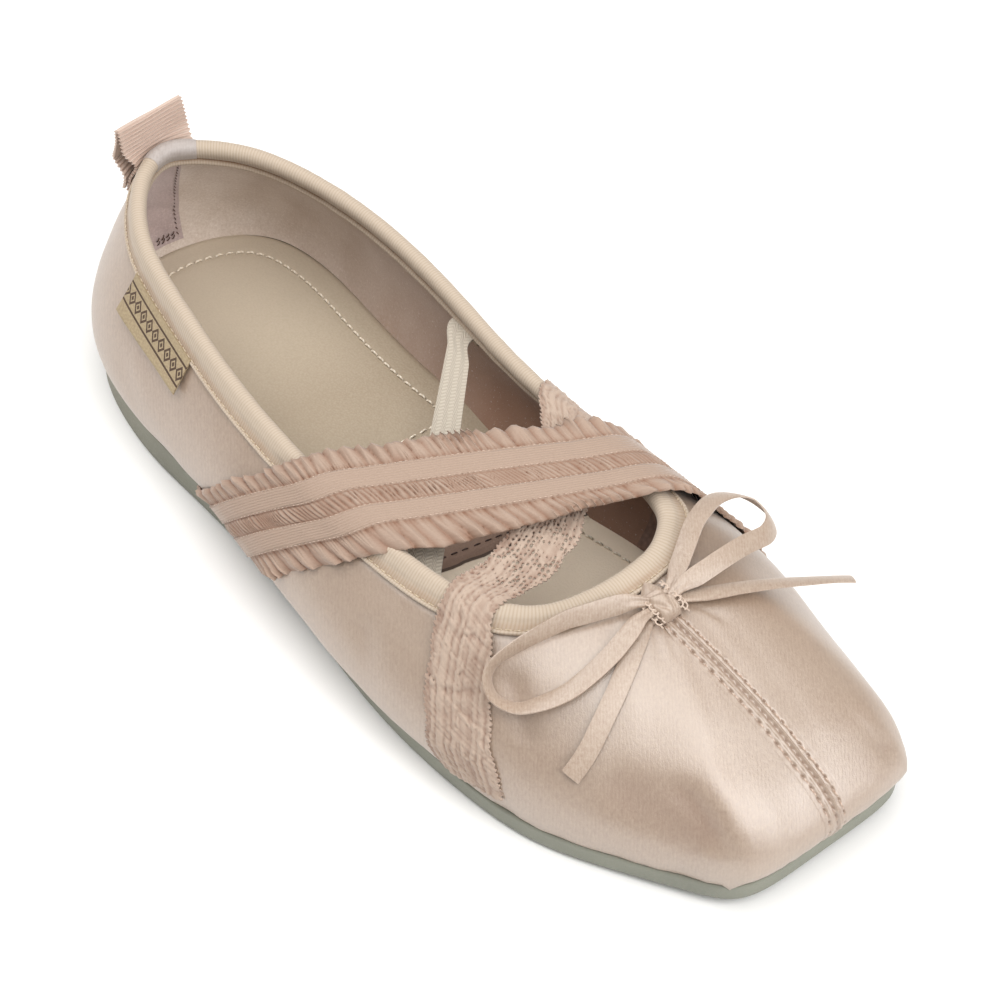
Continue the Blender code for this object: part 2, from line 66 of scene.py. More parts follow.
# One row for each rib. foot_x and top_x are in % of the ball width, foot_y and top_y in % of the
# length, top_z in % of the back height. rise and belly lift and swell the wall from the foot line,
# reach and fall lead it out and down from the topline, in mm.
RIB_COLUMNS = ("foot_x", "foot_y", "top_x", "top_y", "top_z", "rise", "belly", "reach", "fall")
RIBS = {
    "heel_back": (0.0, 1.6, -0.5, 4.8, 100.0, 12, 8.0, 5, 12),
    "heel_lateral_1": (16.5, 3.0, 9.5, 5.8, 97.8, 11, 8.0, 5, 12),
    "heel_lateral_2": (29.7, 7.0, 19.3, 9.3, 94.3, 9, 8.5, 4, 11),
    "heel_lateral_3": (37.9, 13.2, 26.2, 14.2, 90.6, 9, 9.5, 4, 10),
    "heel_lateral_4": (42.3, 21.6, 31.1, 21.6, 86.2, 9, 10.5, 4, 9),
    "waist_lateral_1": (43.5, 31.2, 36.0, 31.2, 81.5, 10, 12.5, 5, 8),
    "waist_lateral_2": (46.2, 41.2, 38.9, 41.2, 78.0, 10, 15.5, 6, 8),
    "waist_lateral_3": (50.5, 52.0, 40.7, 52.0, 76.7, 10, 16.5, 6, 8),
    "ball_lateral_1": (54.2, 62.0, 40.0, 61.8, 77.4, 11, 15.0, 7, 7),
    "ball_lateral_2": (54.7, 71.5, 35.2, 68.3, 78.7, 12, 11.0, 9, 5),
    "fore_lateral_1": (52.0, 79.9, 27.5, 71.8, 79.4, 14, 7.0, 13, 3),
    "fore_lateral_2": (44.8, 86.9, 19.8, 73.2, 79.8, 15, 6.0, 20, 2),
    "fore_lateral_3": (34.6, 94.3, 12.6, 73.8, 80.0, 16, 6.0, 27, 2),
    "corner_lateral": (27.0, 98.5, 7.9, 74.0, 80.0, 17, 9.0, 31, 2),
    "toe_lateral": (15.4, 99.7, 4.0, 74.1, 80.0, 18, 11.0, 31, 2),
    "toe_middle": (0.0, 100.0, 0.0, 74.1, 80.0, 18, 12.0, 31, 2),
    "toe_medial": (-15.4, 100.2, -4.2, 74.0, 80.0, 18, 12.0, 31, 2),
    "corner_medial": (-26.6, 99.4, -7.7, 73.8, 80.0, 17, 10.0, 31, 2),
    "fore_medial_3": (-32.7, 95.5, -11.5, 73.3, 80.0, 16, 6.0, 26, 2),
    "fore_medial_2": (-39.0, 87.7, -15.9, 72.3, 79.6, 14, 5.0, 19, 2.5),
    "fore_medial_1": (-43.3, 80.3, -20.1, 70.6, 79.3, 14, 6.0, 13, 3),
    "ball_medial_2": (-45.3, 71.9, -23.3, 66.9, 78.3, 12, 6.5, 9, 5),
    "ball_medial_1": (-43.5, 63.1, -25.5, 60.8, 77.1, 11, 6.0, 7, 7),
    "waist_medial_3": (-38.2, 53.2, -27.0, 53.2, 76.3, 10, 6.0, 5, 8),
    "waist_medial_2": (-33.0, 43.2, -28.9, 44.8, 76.7, 10, 5.5, 4, 8),
    "waist_medial_1": (-31.2, 33.6, -32.3, 35.2, 78.9, 10, 5.5, 3, 8),
    "heel_medial_4": (-33.3, 24.4, -33.0, 25.6, 83.3, 10, 6.0, 3, 9),
    "heel_medial_3": (-35.7, 16.0, -29.5, 17.2, 88.1, 10, 7.0, 4, 10),
    "heel_medial_2": (-32.4, 8.0, -21.4, 10.4, 93.6, 10, 8.0, 5, 11),
    "heel_medial_1": (-18.7, 3.2, -10.4, 6.4, 97.8, 11, 8.0, 5, 12),
}
RIB_COUNT = len(RIBS)
RIB_STEP = 21  # mm from rib to rib round the shoe, roughly

# Along the length in %, height of the outsole's top above the floor
BED = (
    (0, 10.3), (20, 10.3), (38, 10.0), (50, 8.9), (61, 7.3),
    (72, 6.2), (81, 5.9), (89, 6.3), (95, 7.1), (101, 8.6),
)
# Along the length in %, height of the tread: it lifts at the arch and springs up at the toe
TREAD = (
    (-1, 0.8), (5, 0), (32, 0), (38, 0.5), (44, 1.2), (50, 0.7),
    (57, 0), (80, 0), (88, 0.6), (95, 1.7), (101, 3.0),
)

# Straps, by the ribs of their rear and front edges at the lateral foot, at the topline on the
# lateral and the medial side, and at the medial foot, which runs straight down.
RUFFLE_STRAP = ((4.85, 6.00), (6.20, 7.47), (22.35, 20.42), (21.90, 20.57))
LACE_STRAP = ((8.98, 9.83), (8.35, 9.16), (23.25, 22.28), (23.70, 22.93))
ELASTIC_STRAP = ((7.70, 8.15), (24.75, 24.45))  # its tops alone: it is sewn inside the collar
ELASTIC_TUCK = ((9.0, 0.1), (5.5, 0.1), (4.0, 0.6), (3.8, 1.6))  # down the wall and off the lining
ELASTIC_STEPS = 8
RUFFLE_ARCH = (4.0, 2.2)  # rise of its rear and front edges over the foot opening
LACE_ARCH = (-0.5, -1.6)
RUFFLE_DRIFT = 3.0  # how far the span over the opening bows towards the toe
LACE_DRIFT = 9.8
RUFFLE_OVER_LACE = 1.2  # extra height where the ruffle crosses the lace at the medial topline
RUFFLE_STEPS = (14, 20)  # up a wall and over the opening
LACE_STEPS = (7, 8)
RIM_TURNS = (0.45, 1)  # where a strap touches the binding's round top: 0 is its side, 1 its crest
STRAP_END = 1.6  # a strap stops this far above the foot line
SEAT_CLEAR = 1.0  # a strap is down on the satin this far below the climb to the binding
SEAT_CLIMB = 17.0  # length of that climb, longer than the solid's because the trim is taut
RUFFLE_LINES = (0, 0.2, 0.42, 0.58, 0.8, 1)  # edges of its frills, flat bands and gathers
LACE_LINES = (0, 0.25, 0.5, 0.75, 1)

# Bow ribbons, from the knot: rib, distance down from the topline, clearance under the lower edge
# and lean off the wall in degrees. The knot lies 1.5 mm nearer the toe than its solid, and the
# medial loop and tail lean less than theirs.
BOW_LOOP_LATERAL = (
    (13.95, 10.0, 1.2, 25), (13.15, 8.2, 1.6, 35), (12.4, 7.0, 1.5, 42), (11.3, 5.4, 1.4, 45),
    (10.6, 4.9, 1.4, 50), (10.0, 6.8, 1.3, 60), (9.65, 9.4, 0.7, 70), (9.45, 12.8, 0.5, 80),
    (9.45, 16.2, 0.5, 85), (9.6, 19.6, 0.5, 78), (9.9, 21.6, 0.5, 60), (10.2, 21.2, 0.5, 42),
    (10.6, 19.9, 0.5, 28), (11.05, 17.6, 0.6, 20), (11.55, 15.5, 1.0, 15), (12.1, 13.6, 1.5, 15),
    (12.85, 12.0, 1.8, 15), (13.9, 11.6, 1.4, 15),
)
BOW_LOOP_MEDIAL = (
    (14.9, 10.2, 1.2, 22), (15.7, 8.8, 1.9, 22), (17.2, 6.4, 2.3, 22), (18.5, 5.3, 3.2, 22),
    (19.3, 5.8, 4.0, 22), (19.85, 8.4, 4.7, 22), (20.1, 13.4, 6.4, 22), (20.0, 18.2, 7.9, 22),
    (19.6, 21.0, 8.1, 22), (19.1, 20.2, 6.9, 22), (18.5, 17.2, 5.2, 22), (17.6, 14.2, 3.8, 22),
    (16.6, 12.3, 2.7, 22), (15.75, 11.4, 2.2, 22), (14.9, 11.5, 1.4, 22),
)
BOW_TAIL_LATERAL = (
    (13.9, 12.2, 0.8, 0), (13.1, 13.1, 0.5, 0), (12.3, 15.9, 0.5, 0), (11.74, 20.2, 0.5, 0),
    (11.36, 25.1, 0.5, 4), (11.12, 29.6, 0.5, 6), (10.92, 34.5, 0.5, 8), (10.71, 39.0, 0.6, 10),
)
BOW_TAIL_MEDIAL = (
    (14.9, 12.2, 0.6, 20), (15.6, 13.4, 0.5, 20), (16.4, 15.9, 0.5, 20), (17.2, 19.9, 0.8, 20),
    (17.9, 25.6, 2.2, 20), (18.35, 32.3, 5.8, 20), (18.6, 40.0, 12.2, 20),
)
KNOT_RIB = 14.42
KNOT_DOWN = 11.4

# Pull loop: down the wall and off it where it is sewn, the inner layer first, and between them y
# and height of its free part, which is worn flatter than the solid's
LOOP_INNER = ((10.5, 0.45), (6.2, 1.4), (1.2, 1.45))
LOOP_WORN = (
    (9.9, 57.4), (9.3, 60.2), (8.7, 62.4), (7.9, 63.9),
    (7.0, 63.6), (6.7, 61.8), (6.5, 59.6), (5.7, 56.6), (4.7, 53.2),
)
LOOP_OUTER = ((7.0, 3.3), (10.5, 2.3))
LOOP_REACH = 0.82  # half the ribs that its foot spans

LABEL_RIBS = (3.05, 4.50)
LABEL_HEIGHT = (10.5, 8.6)  # at its rear and front ends
LABEL_DROP = 0.35  # its height counts from this far below the binding
LABEL_LIFT = 0.6  # its lower edge stands off by this much more


# --- Lines and grids ---------------------------------------------------------------------------

def smooth(x, rows):
    """Smooth curve through the rows, whose first column rises; gives the other columns at x."""
    rows = np.array(rows, float)
    knots, values = rows[:, 0], rows[:, 1:]
    slopes = np.gradient(values, knots, axis=0)
    x = np.clip(np.asarray(x, float), knots[0], knots[-1])
    i = np.clip(np.searchsorted(knots, x) - 1, 0, len(knots) - 2)
    step = knots[i + 1] - knots[i]
    t = ((x - knots[i]) / step)[..., None]
    step = step[..., None]
    held = (1 + 2 * t) * (1 - t) ** 2 * values[i] + t * t * (3 - 2 * t) * values[i + 1]
    turned = t * (1 - t) ** 2 * slopes[i] * step - t * t * (1 - t) * slopes[i + 1] * step
    return held + turned


def bed_height(y):
    """Height of the outsole's top at a place along the shoe."""
    return smooth(np.asarray(y) / LAST_LENGTH * 100, BED)[..., 0]


def tread_height(y):
    """Height of the tread above the floor: nothing at heel and ball, some at the arch and toe."""
    return np.maximum(smooth(np.asarray(y) / LAST_LENGTH * 100, TREAD)[..., 0], 0)


def closed_spline(values):
    """Cubic spline through evenly spaced values that joins up with its own start."""
    count = len(values)
    system = 4 * np.eye(count) + np.roll(np.eye(count), 1, 0) + np.roll(np.eye(count), -1, 0)
    bends = np.linalg.solve(system, 6 * (np.roll(values, -1, 0) - 2 * values + np.roll(values, 1, 0)))

    def at(rib):
        rib = np.asarray(rib, float) % count
        i = np.floor(rib).astype(int) % count
        j = (i + 1) % count
        t = (rib - np.floor(rib))[..., None]
        s = 1 - t
        return values[i] * s + values[j] * t + ((s**3 - s) * bends[i] + (t**3 - t) * bends[j]) / 6

    return at


def rib_splines():
    """The foot line in plan, the topline, and the four shape values, all as functions of the rib."""
    scale = {"x": BALL_WIDTH / 100, "y": LAST_LENGTH / 100, "z": BACK_HEIGHT / 100}
    table = dict(zip(RIB_COLUMNS, np.array(list(RIBS.values()), float).T))
    foot = [table["foot_" + axis] * scale[axis] for axis in "xy"]
    top = [table["top_" + axis] * scale[axis] for axis in "xyz"]
    shape = [table[name] for name in ("rise", "belly", "reach", "fall")]
    return [closed_spline(np.column_stack(columns)) for columns in (foot, top, shape)]


FOOT, TOP, SHAPE = rib_splines()
UP = np.array([0.0, 0.0, 1.0])


def unit(vectors):
    return vectors / np.linalg.norm(vectors, axis=-1, keepdims=True)


def plan_outward(line, rib):
    """Level direction pointing out of the shoe, square to a line round it."""
    step = line(rib + 0.01)[..., :2] - line(rib - 0.01)[..., :2]
    flat = np.stack([step[..., 1], -step[..., 0], 0 * step[..., 0]], -1)
    return unit(flat)


def foot_point(rib):
    plan = FOOT(rib)
    return np.concatenate([plan, bed_height(plan[..., 1:2]) + GAP], -1)


def profile(rib, v):
    """Outer face of the upper: v is 0 at the foot line and 1 at the topline."""
    rib, v = np.broadcast_arrays(np.asarray(rib, float), np.asarray(v, float))
    foot, top, shape = foot_point(rib), TOP(rib), SHAPE(rib)
    low = foot + plan_outward(FOOT, rib) * shape[..., 1:2] + UP * shape[..., 0:1]
    high = top + plan_outward(TOP, rib) * shape[..., 2:3] - UP * shape[..., 3:4]
    v = v[..., None]
    w = 1 - v
    return w**3 * foot + 3 * w * w * v * low + 3 * w * v * v * high + v**3 * top


def wall_frame(rib, down):
    """Point on the outer face, the direction up the wall and the direction out of it."""
    rib, down = np.broadcast_arrays(np.asarray(rib, float), np.asarray(down, float))
    shape = rib.shape
    rib, down = rib.ravel(), down.ravel()
    ribs, which = np.unique(rib, return_inverse=True)
    v = np.linspace(1, 0, WALL_STEPS)
    line = profile(ribs[:, None], v[None, :])
    run = np.linalg.norm(np.diff(line, axis=1), axis=-1).cumsum(1)
    run = np.concatenate([np.zeros((len(ribs), 1)), run], 1)
    at = np.empty(len(rib))
    order = np.argsort(which, kind="stable")
    ends = np.searchsorted(which[order], np.arange(1, len(ribs)))
    for row, members in zip(run, np.split(order, ends)):
        at[members] = np.interp(down[members], row, v)
    small = 0.002
    point = profile(rib, at)
    up = unit(profile(rib, np.minimum(at + small, 1)) - profile(rib, np.maximum(at - small, 0)))
    along = profile(rib + small, at) - profile(rib - small, at)
    out = unit(np.cross(along, up))
    point = point + up * np.maximum(-down, 0)[:, None]
    return [part.reshape(shape + (3,)) for part in (point, up, out)]


def wall(rib, down, off=0.0):
    """Point at a distance down from the topline and off the outer face."""
    point, _, out = wall_frame(rib, down)
    return point + out * np.asarray(off, float)[..., None]


def wall_length(rib):
    """Length of the wall from the topline to the foot line."""
    v = np.linspace(0, 1, WALL_STEPS)
    line = profile(np.asarray(rib, float)[..., None], v)
    return np.linalg.norm(np.diff(line, axis=-2), axis=-1).sum(-1)


def rim_point(rib, turn, radius):
    """Point round the top edge: turn 0 lies straight out from it and 1 straight above it."""
    point, _, out = wall_frame(rib, 0)
    way = unit(out * (1 - turn) + UP * turn)
    return point - out * WALL / 2 + way * radius


def seat(down, extra=0.0):
    """How far off the wall a strap lies: on the satin low down, over the binding near the top."""
    over = np.clip((TAPE_OUTER + SEAT_CLEAR + SEAT_CLIMB - down) / SEAT_CLIMB, 0, 1)
    over = over * over * (3 - 2 * over)
    return STRAP_GAP + over * (TAPE + GAP + extra)


def strap_side(foot, top, extra, steps):
    """Run of one strand up a wall, from above the foot line to over the top edge."""
    length = float(wall_length(top)) - STRAP_END
    points = []
    for share in np.linspace(1, 0, steps):
        down = length * share
        points.append(wall(top + (foot - top) * share, down, seat(down, extra)))
    radius = WALL / 2 + TAPE_GAP + TAPE + GAP + extra
    points += [rim_point(top, turn, radius) for turn in RIM_TURNS]
    return points


def between(start, end, steps, arch=0.0, drift=0.0):
    """Points from one side's last point to the other's, by arch up and drift forward half way."""
    points = []
    for t in np.linspace(0, 1, steps + 2)[1:-1]:
        points.append(start * (1 - t) + end * t + np.array((0.0, drift, arch)) * 4 * t * (1 - t))
    return points


def strap_grid(ribs, lines, arch, drift, extra, steps):
    """Strands side by side, each up the lateral wall, over the opening and down the medial wall."""
    rows = []
    for share in lines:
        lateral_foot, lateral_top, medial_top, medial_foot = [
            rear + (front - rear) * share for rear, front in ribs
        ]
        lateral = strap_side(lateral_foot, lateral_top, 0, steps[0])
        medial = strap_side(medial_foot, medial_top, extra, steps[0])
        rise = arch[0] + (arch[1] - arch[0]) * share
        span = between(lateral[-1], medial[-1], steps[1], rise, drift)
        rows.append(np.array(lateral + span + medial[::-1]))
    return np.stack(rows)[:, ::-1]


def to_world(points):
    return (np.asarray(points, float) - (0, HEEL_SEAT, 0)) * MM


def wander(at, swing, seed):
    """Smooth seeded noise from -1 to 1 along a line, with about one turn in each swing of it."""
    values = np.random.default_rng(seed).uniform(-1, 1, 1024)
    place = np.asarray(at, float) / swing + 300.0
    i = np.floor(place).astype(int)
    t = place - i
    t = t * t * (3 - 2 * t)
    return values[i % 1024] * (1 - t) + values[(i + 1) % 1024] * t


def bump(at, middle, width):
    """1 at the middle, falling smoothly to 0 at about one width from it."""
    return np.exp(-(((np.asarray(at, float) - middle) / width) ** 2) * 2.0)


def ease(at, start, end):
    """Smooth step from 0 at the start to 1 at the end."""
    t = np.clip((np.asarray(at, float) - start) / (end - start), 0, 1)
    return t * t * (3 - 2 * t)


def run_along(points, axis=0):
    """Distance travelled along lines of points, from 0."""
    steps = np.linalg.norm(np.diff(points, axis=axis), axis=-1)
    return np.concatenate([np.zeros_like(steps.take([0], axis=axis)), steps.cumsum(axis)], axis)


def resample(line, count):
    """The same line through points at even distances."""
    run = run_along(line)
    at = np.linspace(0, run[-1], count)
    return smooth(at, np.column_stack([run, line]))


def even_ribs(line, count):
    """Rib numbers at even distances round a closed line, and the distances themselves."""
    rib = np.linspace(0, RIB_COUNT, 1801)
    run = run_along(line(rib))
    at = np.arange(count + 1) * run[-1] / count
    return np.interp(at[:-1], run, rib), at


def middle_line(rib):
    return (TOP(rib) + foot_point(rib)) / 2


def grid_normals(grid, ring=False):
    """Directions out of a cloth whose rows run round the shoe and whose columns run down."""
    if ring:
        along = np.roll(grid, -1, 0) - np.roll(grid, 1, 0)
    else:
        along = np.gradient(grid, axis=0)
    return unit(np.cross(np.gradient(grid, axis=1), along) + 1e-12)


def distance_to(points, line):
    """How far points lie from a line of points, and how far along it, from 0 to 1."""
    best = np.full(points.shape[:-1], 1e9)
    place = np.zeros(points.shape[:-1])
    for k in range(len(line) - 1):
        step = line[k + 1] - line[k]
        t = np.clip(((points - line[k]) @ step) / (step @ step), 0, 1)
        gap = np.linalg.norm(points - line[k] - t[..., None] * step, axis=-1)
        near = gap < best
        best[near] = gap[near]
        place[near] = (k + t[near]) / (len(line) - 1)
    return best, place


# --- Meshes ------------------------------------------------------------------------------------

def new_object(name, data):
    made = bpy.data.objects.new(name, data)
    bpy.context.scene.collection.objects.link(made)
    return made


def finish_piece(name, mesh, material, replaces, angle):
    """The piece of a mesh, smooth but for edges sharper than the angle in degrees, riding the part."""
    mesh.materials.append(material)
    mesh.shade_smooth()
    if angle:
        mesh.set_sharp_from_angle(angle=np.radians(angle))
    piece = new_object(name, mesh)
    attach(piece, "root")
    if replaces:
        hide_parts(replaces)
    return piece


def new_piece(name, points, faces, material, replaces=None, uv=None, marks=None, angle=50):
    """A mesh from points, faces of four, a texture place for each face corner in mm, and marks."""
    faces = np.asarray(faces)
    mesh = bpy.data.meshes.new(name)
    mesh.from_pydata(to_world(points).tolist(), [], faces.tolist())
    if uv is not None:
        layer = mesh.uv_layers.new(name="cloth")
        layer.data.foreach_set("uv", np.asarray(uv, np.float32).ravel())
    for mark, values in (marks or {}).items():
        attribute = mesh.attributes.new(mark, "FLOAT", "POINT")
        attribute.data.foreach_set("value", np.asarray(values, np.float32).ravel())
    mesh.validate()
    mesh.update()
    return finish_piece(name, mesh, material, replaces, angle)


def shell(name, outer, inner, material, replaces=None, ring=False, uv=None, marks=None,
          angle=50):
    """Closed cloth between two grids of points: a face, a back and the edges between them. Its
    texture places have one row more than the grid where it closes into a ring."""
    rows, columns = outer.shape[:2]
    size = rows * columns
    i, j = np.meshgrid(np.arange(rows if ring else rows - 1), np.arange(columns - 1), indexing="ij")
    after = (i + 1) % rows
    corners = [(i, j), (i, j + 1), (after, j + 1), (after, j)]
    steps = [(i, j), (i, j + 1), (i + 1, j + 1), (i + 1, j)]
    face = np.stack([a * columns + b for a, b in corners], -1).reshape(-1, 4)
    face_uv = np.stack([uv[a, b] for a, b in steps], -2).reshape(-1, 4, 2)
    faces, places = [face, face[:, ::-1] + size], [face_uv, face_uv[:, ::-1]]

    def edge(a, b, uv_a, uv_b):
        faces.append(np.stack([a, b, b + size, a + size], -1))
        places.append(np.stack([uv_a, uv_b, uv_b, uv_a], -2))

    k = np.arange(rows if ring else rows - 1)
    last = columns - 1
    edge(k * columns, (k + 1) % rows * columns, uv[k, 0], uv[k + 1, 0])
    edge((k + 1) % rows * columns + last, k * columns + last, uv[k + 1, last], uv[k, last])
    if not ring:
        k = np.arange(columns - 1)
        end = (rows - 1) * columns
        edge(k + 1, k, uv[0, k + 1], uv[0, k])
        edge(end + k, end + k + 1, uv[rows - 1, k], uv[rows - 1, k + 1])
    points = np.concatenate([outer.reshape(-1, 3), inner.reshape(-1, 3)])
    both = {mark: np.concatenate([v.ravel(), v.ravel()]) for mark, v in (marks or {}).items()}
    return new_piece(name, points, np.concatenate(faces), material, replaces,
                     np.concatenate(places), both, angle)


def grid_uv(grid, ring=False):
    """Real distances along and across a grid in mm."""
    across = run_along(grid, 1)
    middle = grid[:, grid.shape[1] // 2]
    if ring:
        middle = np.concatenate([middle, middle[:1]])
        across = np.concatenate([across, across[:1]])
    along = run_along(middle)
    return np.stack([along[:, None] + 0 * across, across], -1)


def ring_faces(levels, sides):
    """Faces of four between rings of points, one ring for each level of a cord."""
    k, j = np.meshgrid(np.arange(levels - 1), np.arange(sides), indexing="ij")
    beside = (j + 1) % sides
    low, high = k * sides, (k + 1) * sides
    return np.stack([low + j, low + beside, high + beside, high + j], -1).reshape(-1, 4)


THREAD_SHIFT = 3.7  # mm of thread from one stitch's texture to the next one's


def threads(name, starts, ends, normals, radius, material, rise=0.35, dive=0.25, sides=6):
    """Stitches: short bowed threads that come out of the cloth at one end and go in at the other."""
    starts, ends, normals = np.asarray(starts), np.asarray(ends), unit(np.asarray(normals))
    run = unit(ends - starts)
    side = unit(np.cross(run, normals))
    shares = np.array([0.0, 0.06, 0.25, 0.5, 0.75, 0.94, 1.0])
    lift = np.array([-dive, 0.1, 0.8, 1.0, 0.8, 0.1, -dive]) * rise
    girth = np.array([0.8, 0.95, 1.0, 1.0, 1.0, 0.95, 0.8]) * radius
    turn = np.arange(sides) * 2 * np.pi / sides
    middle = starts[:, None] + (ends - starts)[:, None] * shares[:, None]
    middle = middle + normals[:, None] * lift[:, None]
    ring = side[:, None, None] * np.cos(turn)[:, None]
    ring = ring + normals[:, None, None] * np.sin(turn)[:, None]
    points = middle[:, :, None] + ring * girth[:, None, None]
    count, levels = points.shape[:2]
    each = np.arange(count)[:, None, None]
    faces = (each * levels * sides + ring_faces(levels, sides)).reshape(-1, 4)
    along = run_along(middle, 1)
    u = np.repeat(along[..., None], sides, -1) + each * THREAD_SHIFT
    v = np.broadcast_to(turn * radius, u.shape)
    uv = np.stack([u, v], -1).reshape(-1, 2)
    return new_piece(name, points.reshape(-1, 3), faces, material, uv=uv[faces.ravel()], angle=0)


def sew(name, line, normals, pitch, radius, material, slot, fill=0.72, rise=0.3, sway=0.0, seed=1):
    """A row of stitches along a line on the cloth, each filling that share of the pitch."""
    run = run_along(line)
    rows = np.column_stack([run, line, normals])
    count = int(run[-1] / pitch)
    at = (np.arange(count) + 0.5) * run[-1] / count
    jitter = wander(at, pitch, seed) * pitch * 0.06
    half = pitch * fill / 2
    first, last = smooth(at - half + jitter, rows), smooth(at + half + jitter, rows)
    across = unit(np.cross(last[:, :3] - first[:, :3], first[:, 3:]))
    tilt = across * (sway * (1 + 0.3 * wander(at, pitch, seed + 1)))[:, None]
    return threads(name, first[:, :3] + tilt, last[:, :3] - tilt, first[:, 3:], radius, material,
                   rise)


def tube(name, line, radius, material, sides=8):
    """A round cord along a line, drawn to a point at both ends."""
    run = unit(np.gradient(line, axis=0))
    side = unit(np.cross(run, UP + 0.001))
    lift = np.cross(side, run)
    turn = np.arange(sides) * 2 * np.pi / sides
    at = run_along(line)
    taper = np.clip(np.minimum(at, at[-1] - at) / (2 * radius), 0.02, 1) ** 0.5
    radius = (radius * taper)[:, None, None]
    ring = side[:, None] * np.cos(turn)[:, None] + lift[:, None] * np.sin(turn)[:, None]
    points = line[:, None] + radius * ring
    faces = ring_faces(len(line), sides)
    along = np.repeat(at[:, None], sides, 1)
    uv = np.stack([along, np.broadcast_to(turn, along.shape)], -1).reshape(-1, 2)
    return new_piece(name, points.reshape(-1, 3), faces, material, uv=uv[faces.ravel()], angle=0)


# --- Materials ---------------------------------------------------------------------------------

def linear(code):
    """An sRGB hex colour as the linear colour that a shader takes."""
    channels = [int(code[i:i + 2], 16) / 255 for i in (1, 3, 5)]
    turned = [c / 12.92 if c <= 0.04045 else ((c + 0.055) / 1.055) ** 2.4 for c in channels]
    return (*turned, 1)


def add(tree, kind, inputs=None, out=0, **settings):
    """One node with its settings and its links or values; gives the named output."""
    made = tree.nodes.new("ShaderNode" + kind)
    for name, value in settings.items():
        setattr(made, name, value)
    for socket, value in (inputs or {}).items():
        if isinstance(value, bpy.types.NodeSocket):
            tree.links.new(value, made.inputs[socket])
        else:
            made.inputs[socket].default_value = value
    return made.outputs[out]


def new_material(name, **values):
    """A material, its tree and its shader with constant values on the shader's own sockets."""
    material = bpy.data.materials.new(name)
    material.use_nodes = True
    tree = material.node_tree
    shader = tree.nodes["Principled BSDF"]
    for socket, value in values.items():
        shader.inputs[socket.replace("_", " ")].default_value = value
    return material, tree, shader


def connect(tree, shader, colour, grain, rough, height=None, span=(0.3, 0.7)):
    """Colour, roughness and bump into the shader: over its span the grain carries the roughness
    from the first value to the second. The bump's height is in mm."""
    tree.links.new(colour, shader.inputs["Base Color"])
    dull = add(tree, "MapRange", {0: grain, 1: span[0], 2: span[1], 3: rough[0], 4: rough[1]})
    tree.links.new(dull, shader.inputs["Roughness"])
    if height is not None:
        normal = add(tree, "Bump", {"Height": height, "Distance": MM, "Strength": 1.0})
        tree.links.new(normal, shader.inputs["Normal"])


def millimetres(tree):
    """The place on the object in mm, for patterns with real sizes."""
    place = add(tree, "TexCoord", out="Object")
    return add(tree, "VectorMath", {0: place, "Scale": 1 / MM}, operation="SCALE")


def woven_satin(name, face, shade, glow, line_mm, **values):
    """Polyester satin: long floating threads lie side by side, so light runs along them in a broad
    soft gleam, and the cloth between them stays warm and dark. Fine lines show the threads' run,
    and where a mark says the cloth is tucked into a crease its colour is darkened as painted shade."""
    material, tree, shader = new_material(name, **values)
    mm = millimetres(tree)
    # The floats run slantwise over the toe, seen from above
    turned = add(tree, "Mapping", {"Vector": mm, "Rotation": (0, 0, SATIN_RUN)})
    fine = add(tree, "Mapping", {"Vector": turned, "Scale": (2.4, 0.7, 0.7)})
    flecks = add(tree, "TexNoise", {"Vector": fine, "Scale": 1.0, "Detail": 3.0, "Roughness": 0.65})
    # Twill lines, coarser than the real 0.1 mm threads so that they show
    across = add(tree, "SeparateXYZ", {0: turned})
    drift = add(tree, "Math", {0: flecks, 1: 0.9, 2: across}, operation="MULTIPLY_ADD")
    phase = add(tree, "Math", {0: drift, 1: 2 * np.pi / line_mm}, operation="MULTIPLY")
    lines = add(tree, "Math", {0: phase}, operation="SINE")
    grain = add(tree, "TexNoise", {"Vector": mm, "Scale": 1.3, "Detail": 4.0, "Roughness": 0.75})
    cloud = add(tree, "TexNoise", {"Vector": mm, "Scale": 0.035, "Detail": 2.0})
    weave = add(tree, "Math", {0: lines, 1: 0.06, 2: flecks}, operation="MULTIPLY_ADD")
    weave = add(tree, "Math", {0: grain, 1: 1.1, 2: weave}, operation="MULTIPLY_ADD")
    lift = add(tree, "MapRange", {0: weave, 1: 0.75, 2: 1.35, 3: 0.0, 4: 1.0})
    tone = add(tree, "Mix", {0: lift, 6: linear(shade), 7: linear(face)}, 2, data_type="RGBA")
    patch = add(tree, "MapRange", {0: cloud, 1: 0.35, 2: 0.7, 3: 0.0, 4: 0.35})
    tone = add(tree, "Mix", {0: patch, 6: tone, 7: linear(glow)}, 2, data_type="RGBA")
    # Painted shade: brown laid into the colour where the cloth lies in a crease
    crease_shade = add(tree, "Attribute", out="Fac", attribute_name="crease_shade")
    tone = add(tree, "Mix", {0: crease_shade, 6: tone, 7: linear("#7E5E4A")}, 2, data_type="RGBA")
    height = add(tree, "Math", {0: weave, 1: 0.05}, operation="MULTIPLY")
    rough = values["Roughness"]
    connect(tree, shader, tone, grain, (rough - 0.04, rough + 0.06), height)
    return material


